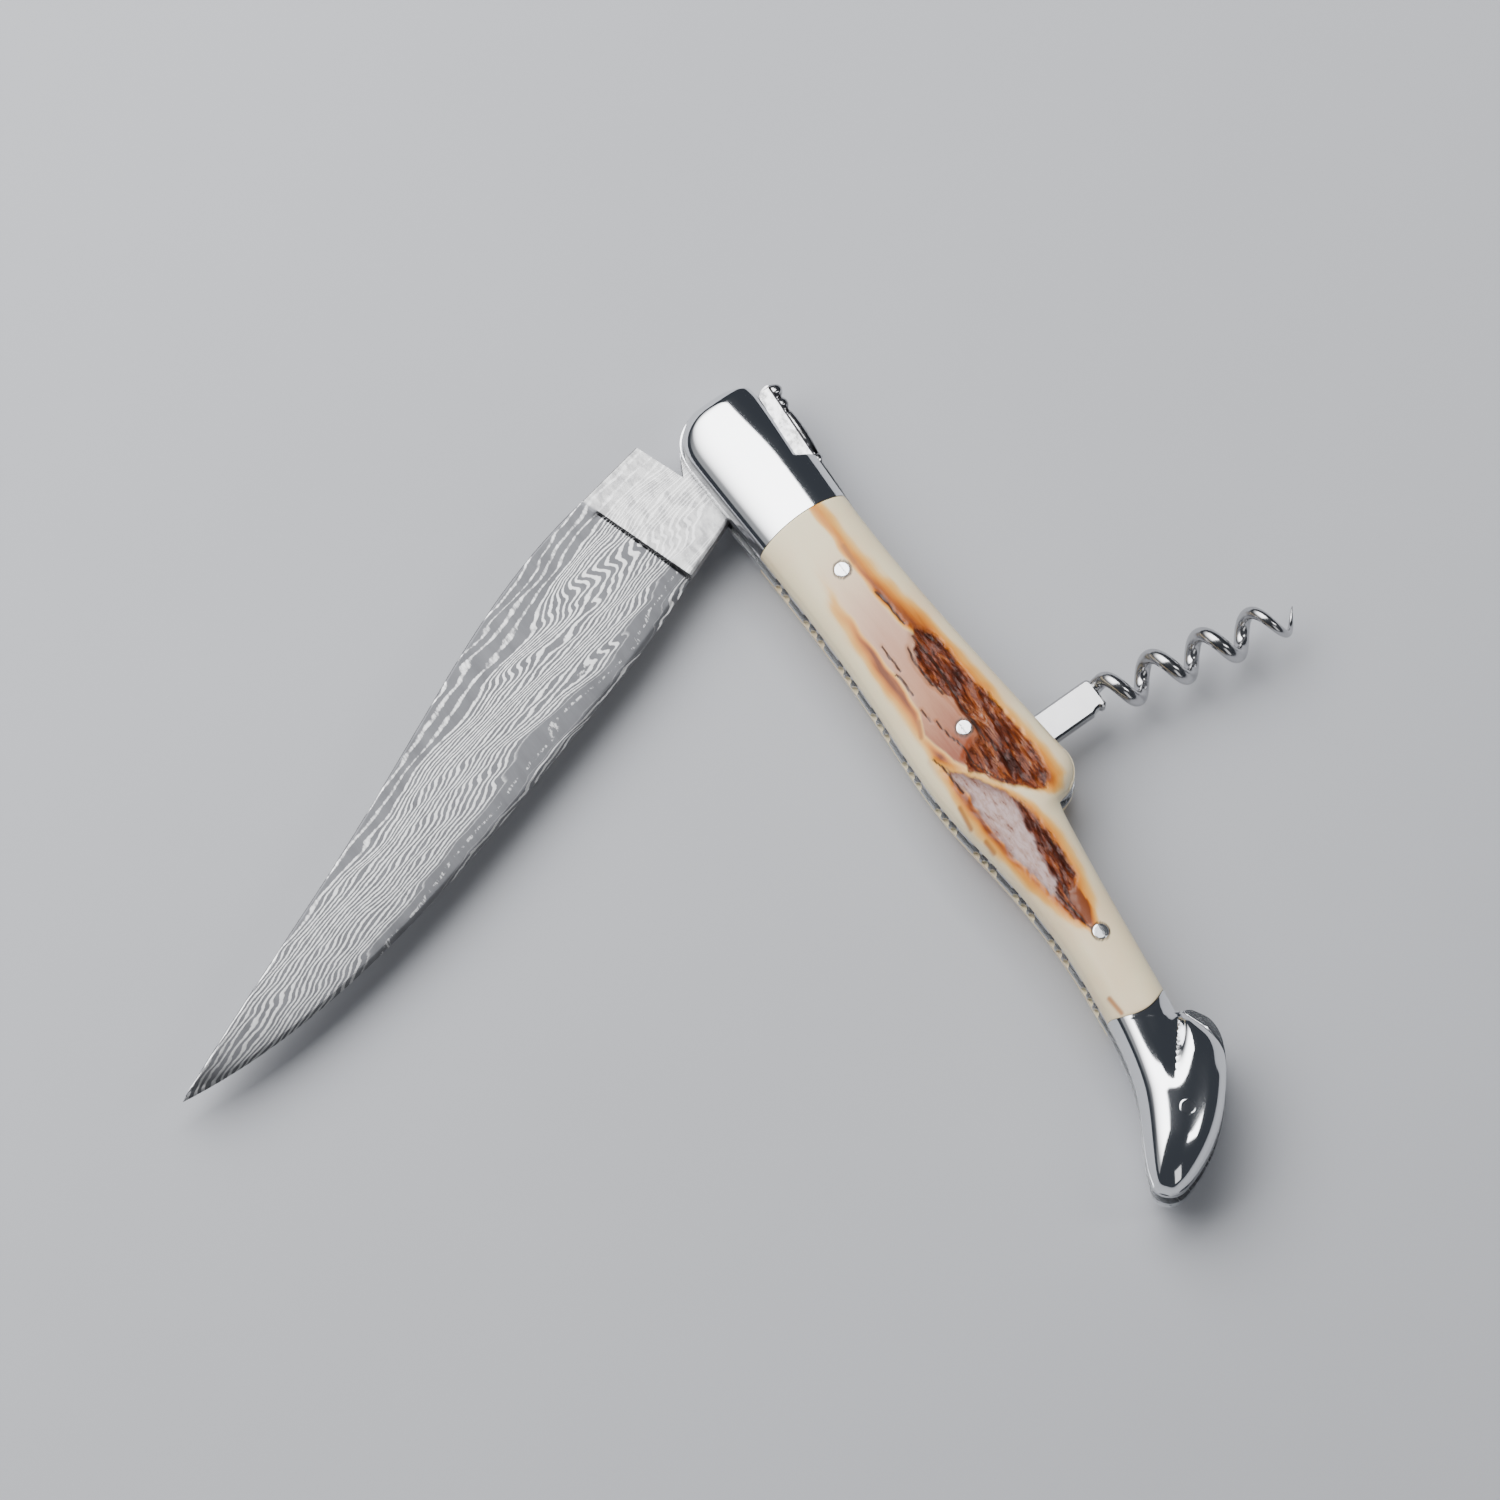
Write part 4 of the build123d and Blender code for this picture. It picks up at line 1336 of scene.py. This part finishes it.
class KNIFE_OT_blade(bpy.types.Operator):
    """Build the ground blade from its outline"""

    bl_idname = "knife.blade"
    bl_label = "Blade"

    ANGLE = math.radians(-71.5)
    COLUMNS = 57
    HALF_THICKNESS = 1.38
    PIVOT_HOLE = 2.05
    GRIND_RISE = 0.28

    def execute(self, context):
        settings = context.scene.knife_blade
        steel = layered_steel("pattern_welded_steel", settings, -self.ANGLE)
        edges = edges_from_above("blade")
        along = np.array((math.cos(self.ANGLE), math.sin(self.ANGLE)))
        across = np.array((-along[1], along[0]))
        groove = [settings.plunge + step for step in (-0.28, -0.20, -0.12, -0.03, 0.06, 0.14, 0.22)]
        stations = np.concatenate([
            np.arange(-5.55, -3.4, 0.12), np.arange(-3.4, 6.4, 0.4), [6.44, 6.66],
            np.arange(7, settings.plunge - 0.4, 0.4), groove,
            np.arange(settings.plunge + 0.5, 108, 0.6),
            108 + 2.1 * np.sin(np.linspace(0.1, math.pi / 2, 10)),
        ])
        rows = []
        spans = []
        for s in stations:
            span = reach(edges, along * s, across)
            if span is None:
                continue
            spans.append((s, *span))
        spans = np.array(spans)
        t_share = np.linspace(0, 1, self.COLUMNS)
        for s, back, front in spans:
            bevel = min(settings.bevel_width, 0.3 * (front - back))
            t = np.concatenate([
                [back, back + 0.06, back + 0.16],
                back + 0.3 + (front - bevel - back - 0.3) * t_share,
                [front - 0.5 * bevel, front],
            ]) if front - back > 1.2 else back + (front - back) * np.linspace(0, 1, self.COLUMNS + 5)
            half = self.half_thickness(settings, s, t, back, front)
            upper = np.stack([t, half], -1)
            lower = np.stack([t, -half], -1)[::-1]
            section = np.concatenate([upper, lower])
            place = along * s + section[:, :1] * across
            rows.append(np.concatenate([place, MIDDLE + section[:, 1:]], axis=1))
        rows = np.array(rows)
        faces = loft_faces(len(rows), rows.shape[1], closed=True)
        piece = make_piece(
            "layered_blade", rows.reshape(-1, 3), faces, "blade", ["blade"],
            steel
        )
        drill(piece, (0, 0), self.PIVOT_HOLE)
        return {"FINISHED"}

    def half_thickness(self, settings, s, t, back, front):
        """Half the blade's thickness at points across one station."""
        thick = self.HALF_THICKNESS
        taper = 1 - 0.45 * smoothstep(30, 112, s)
        if s <= settings.plunge - self.GRIND_RISE:
            edge_round = 0.10 * np.clip(1 - (t - back) / 0.16, 0, 1) ** 2
            edge_round = edge_round + 0.10 * np.clip(1 - (front - t) / 0.3, 0, 1) ** 2
            return thick - edge_round
        behind_edge = settings.edge_thickness
        share = np.clip(
            (front - settings.bevel_width - t) / (front - settings.bevel_width - back), 0, 1
        )
        ground = behind_edge + (thick * taper - behind_edge) * share**0.85
        near_edge = np.clip((front - t) / settings.bevel_width, 0, 1)
        ground = np.where(
            front - t < settings.bevel_width, 0.03 + (behind_edge - 0.03) * near_edge, ground
        )
        ground = ground - 0.10 * np.clip(1 - (t - back) / 0.16, 0, 1) ** 2
        inside = (s - (settings.plunge - self.GRIND_RISE)) / self.GRIND_RISE
        if s < settings.plunge + 0.25:
            dip = max(0.0, 1 - abs(s - settings.plunge + 0.03) / 0.18)
            open_side = smoothstep(-9.2, -8.4, t)
            flat = np.where(t > -8.8, ground, thick)
            mixed = thick + (flat - thick) * min(1.0, max(0.0, inside))
            return np.maximum(mixed - settings.groove_depth * dip * open_side, 0.03)
        return np.maximum(ground, 0.03)


# ------------------------------------------------------------------ corkscrew


def plate(outline, low, high, bevel):
    """Points and faces of a flat plate with bevelled rims, from an outline."""
    corners = np.array(outline, float)
    ahead = np.roll(corners, -1, axis=0) - corners
    behind = corners - np.roll(corners, 1, axis=0)
    ahead /= np.linalg.norm(ahead, axis=1)[:, None]
    behind /= np.linalg.norm(behind, axis=1)[:, None]
    inward = np.stack([-(ahead + behind)[:, 1], (ahead + behind)[:, 0]], -1)
    cosine = np.clip((1 + np.sum(ahead * behind, axis=1)) / 2, 0.25, 1)
    inward = inward / np.linalg.norm(inward, axis=1)[:, None] / np.sqrt(cosine)[:, None]
    levels = [(low, bevel), (low + bevel, 0), (high - bevel, 0), (high, bevel)]
    points = []
    for z, inset in levels:
        for corner, step in zip(corners, inward):
            points.append((*(corner + step * inset), z))
    return np.array(points), loft_faces(len(levels), len(corners), closed=True)


class KNIFE_OT_corkscrew(bpy.types.Operator):
    """Build the corkscrew's shank and its pointed worm"""

    bl_idname = "knife.corkscrew"
    bl_label = "Corkscrew"

    LEAN = math.radians(11.8)
    AXIS_FOOT = (54.43, 20.97)
    WORM_END = 25.85
    NECK_X = 52.6
    HALF_WIDTH = 2.15
    EYE_RADIUS = 2.4
    PIVOT_HOLE = 1.03

    def execute(self, context):
        settings = context.scene.knife_corkscrew
        steel = polished_steel("corkscrew_steel", settings.steel, 0.14, 0.10, (0.4, 0.4, 1))
        self.shank(settings, steel)
        self.worm(settings, steel)
        return {"FINISHED"}

    def shank(self, settings, steel):
        """The flat shank with its toothed end."""
        low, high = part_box("corkscrew_shank")
        left, right = PIVOT.x - self.HALF_WIDTH, PIVOT.x + self.HALF_WIDTH
        top = high.y / MM
        thick_low, thick_high = low.z / MM, high.z / MM
        eye = self.EYE_RADIUS
        start = math.acos(self.HALF_WIDTH / eye)
        angles = np.linspace(math.pi - start, 2 * math.pi + start, 40)
        around = [(PIVOT.x + eye * math.cos(a), PIVOT.y + eye * math.sin(a)) for a in angles]
        toothed = [
            (right, top - 2.3), (right + 0.02, top - 2.1), (right - 0.28, top - 1.55),
            (right - 0.34, top - 1.0),
            (right - 0.06, top - 0.75), (right - 0.02, top - 0.35), (right - 0.30, top - 0.02),
            (right - 1.2, top), (left + 0.9, top), (left + 0.35, top - 0.10),
            (left + 0.05, top - 0.45),
            (left, top - 0.9),
        ]
        points, faces = plate(around + toothed, thick_low, thick_high, settings.bevel)
        piece = make_piece(
            "toothed_shank", points, faces, "corkscrew", ["corkscrew_shank"],
            steel
        )
        drill(piece, (PIVOT.x, PIVOT.y), self.PIVOT_HOLE)

    def worm(self, settings, steel):
        """The round wire, straight at the shank, then coiled, and drawn out to a point."""
        up = np.array((math.sin(self.LEAN), math.cos(self.LEAN), 0))
        side = np.array((up[1], -up[0], 0))
        out = np.array((0, 0, 1.0))
        foot = np.array((*self.AXIS_FOOT, MIDDLE))
        neck = np.array((self.NECK_X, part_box("corkscrew_shank")[1].y / MM - 0.3, MIDDLE))
        neck_down = float((neck - foot) @ up)
        along = np.concatenate(
            [
                np.linspace(neck_down, 1.0, 30), np.arange(1.12, self.WORM_END - 0.05, 0.12),
                [self.WORM_END]
            ]
        )
        rate = 2 * math.pi / settings.pitch * smoothstep(-2.4, 0.2, along)
        theta = np.concatenate([[0], np.cumsum(0.5 * (rate[1:] + rate[:-1]) * np.diff(along))])
        path = (
            foot
            + along[:, None] * up
            + settings.coil * (-np.cos(theta)[:, None] * side + np.sin(theta)[:, None] * out)
        )
        drift = neck - path[0]
        path = path + drift * (1 - smoothstep(neck_down, 0.4, along))[:, None]
        run = np.concatenate([[0], np.cumsum(np.linalg.norm(np.diff(path, axis=0), axis=1))])
        left = run[-1] - run
        radius = settings.wire * np.clip(left / settings.point_length, 0.0, 1) ** 0.6
        radius = np.maximum(radius, 0.06)
        tangent = np.gradient(path, axis=0)
        tangent /= np.linalg.norm(tangent, axis=1)[:, None]
        around = np.linspace(0, 2 * math.pi, 28, endpoint=False)
        first = np.cross(tangent[0], out)
        first /= np.linalg.norm(first)
        points = []
        for place, ahead, size in zip(path, tangent, radius):
            first = first - ahead * (first @ ahead)
            first /= np.linalg.norm(first)
            second = np.cross(ahead, first)
            for angle in around:
                points.append(place + size * (math.cos(angle) * first + math.sin(angle) * second))
        faces = loft_faces(len(path), len(around), closed=True)
        make_piece(
            "pointed_worm", np.array(points), faces, "corkscrew",
            ["corkscrew_worm"], steel
        )


# ------------------------------------------------------------------ stage


def area_light(name, place, target, size, power, colour=(1, 1, 1), fade=None):
    """A rectangular light aimed at a point, which may fade along its width and its height."""
    light = bpy.data.lights.new(name, "AREA")
    light.shape = "RECTANGLE"
    light.size, light.size_y = size
    light.energy = power
    light.color = colour
    lamp = bpy.data.objects.new(name, light)
    lamp.location = place
    lamp.rotation_euler = (Vector(target) - Vector(place)).to_track_quat("-Z", "Y").to_euler()
    bpy.context.scene.collection.objects.link(lamp)
    if fade:
        light.use_nodes = True
        tree = light.node_tree
        emission = tree.nodes["Emission"]
        place_on = tree.nodes.new("ShaderNodeNewGeometry")
        split = tree.nodes.new("ShaderNodeSeparateXYZ")
        both = tree.nodes.new("ShaderNodeMath")
        both.operation = "MULTIPLY"
        tree.links.new(place_on.outputs["Parametric"], split.inputs["Vector"])
        for axis, socket, (low, high, dim) in zip("XY", both.inputs, fade):
            shade = tree.nodes.new("ShaderNodeMapRange")
            shade.interpolation_type = "SMOOTHSTEP"
            shade.inputs["From Min"].default_value = low
            shade.inputs["From Max"].default_value = high
            shade.inputs["To Min"].default_value = dim
            tree.links.new(split.outputs[axis], shade.inputs["Value"])
            tree.links.new(shade.outputs["Result"], socket)
        tree.links.new(both.outputs["Value"], emission.inputs["Strength"])


class KNIFE_OT_stage(bpy.types.Operator):
    """Build the pale floor, the camera and the soft studio lights"""

    bl_idname = "knife.stage"
    bl_label = "Stage"

    FLOOR_HALF = 2.5
    TARGET = (33.5, -21.0, 7.2)
    AZIMUTH = math.radians(54)
    ELEVATION = math.radians(75)

    def execute(self, context):
        settings = context.scene.knife_stage
        self.floor(settings)
        self.camera(context, settings)
        self.lights(context, settings)
        return {"FINISHED"}

    def floor(self, settings):
        """A wide, flat, pale floor."""
        half = self.FLOOR_HALF
        points = [(-half, -half, 0), (half, -half, 0), (half, half, 0), (-half, half, 0)]
        mesh = bpy.data.meshes.new("floor")
        mesh.from_pydata(points, [], [(0, 1, 2, 3)])
        floor = bpy.data.objects.new("floor", mesh)
        bpy.context.scene.collection.objects.link(floor)
        mesh.materials.append(floor_material(settings))

    def camera(self, context, settings):
        """A camera high above the knife, turned as the knife is seen."""
        data = bpy.data.cameras.new("camera")
        data.lens = settings.lens
        camera = bpy.data.objects.new("camera", data)
        context.scene.collection.objects.link(camera)
        target = Vector(self.TARGET) * MM
        azimuth, elevation = self.AZIMUTH, self.ELEVATION
        away = Vector((
            math.cos(elevation) * math.sin(azimuth), -math.cos(elevation) * math.cos(azimuth),
            math.sin(elevation)
        ))
        camera.location = target + settings.distance * away
        camera.rotation_euler = (math.pi / 2 - elevation, 0, azimuth)
        context.scene.camera = camera

    def lights(self, context, settings):
        """A large softbox overhead, a strip, a side panel and a dim room."""
        area_light(
            "softbox", (-0.98, -0.80, 0.60), (-0.98, -0.80, 0), (1.84, 2.20), settings.main_power,
            fade=((0.25, 0.95, 0.10), (0.40, 0.86, 0.05)),
        )
        area_light("strip", (0.30, 0.34, 0.50), (0.1, 0, 0), (0.09, 0.24), settings.fill_power)
        area_light("panel", (0.80, -0.10, 0.42), (0.1, 0, 0), (0.30, 0.60), settings.panel_power)
        world = bpy.data.worlds.new("room")
        world.use_nodes = True
        background = world.node_tree.nodes["Background"]
        background.inputs["Color"].default_value = (0.42, 0.47, 0.56, 1)
        background.inputs["Strength"].default_value = settings.room_light
        context.scene.world = world


# ------------------------------------------------------------------ panel and registration


class KNIFE_PT_panel(bpy.types.Panel):
    """Buttons for each part of the knife"""

    bl_label = "Folding Knife"
    bl_idname = "KNIFE_PT_panel"
    bl_space_type = "VIEW_3D"
    bl_region_type = "UI"
    bl_category = "Knife"

    def draw(self, context):
        for operator, group in PARTS.items():
            box = self.layout.box()
            box.operator(operator.bl_idname)
            for name in getattr(type(getattr(context.scene, group)), "__annotations__", ()):
                box.prop(getattr(context.scene, group), name)


PARTS = {
    KNIFE_OT_bolsters: "knife_covers",
    KNIFE_OT_scales: "knife_scales",
    KNIFE_OT_pins: "knife_scales",
    KNIFE_OT_liners: "knife_covers",
    KNIFE_OT_spring: "knife_spring",
    KNIFE_OT_blade: "knife_blade",
    KNIFE_OT_corkscrew: "knife_corkscrew",
    KNIFE_OT_stage: "knife_stage",
}
GROUPS = {
    "knife_covers": KnifeCoverSettings,
    "knife_scales": KnifeScaleSettings,
    "knife_blade": KnifeBladeSettings,
    "knife_spring": KnifeSpringSettings,
    "knife_corkscrew": KnifeCorkscrewSettings,
    "knife_stage": KnifeStageSettings,
}


def register():
    for group in GROUPS.values():
        bpy.utils.register_class(group)
    for operator in PARTS:
        bpy.utils.register_class(operator)
    bpy.utils.register_class(KNIFE_PT_panel)
    for name, group in GROUPS.items():
        setattr(bpy.types.Scene, name, PointerProperty(type=group))


def unregister():
    for name in GROUPS:
        delattr(bpy.types.Scene, name)
    for made in (KNIFE_PT_panel, *PARTS, *GROUPS.values()):
        bpy.utils.unregister_class(made)


def main():
    register()
    for operator in PARTS:
        area, name = operator.bl_idname.split(".")
        getattr(getattr(bpy.ops, area), name)()


if __name__ == "__main__":
    main()
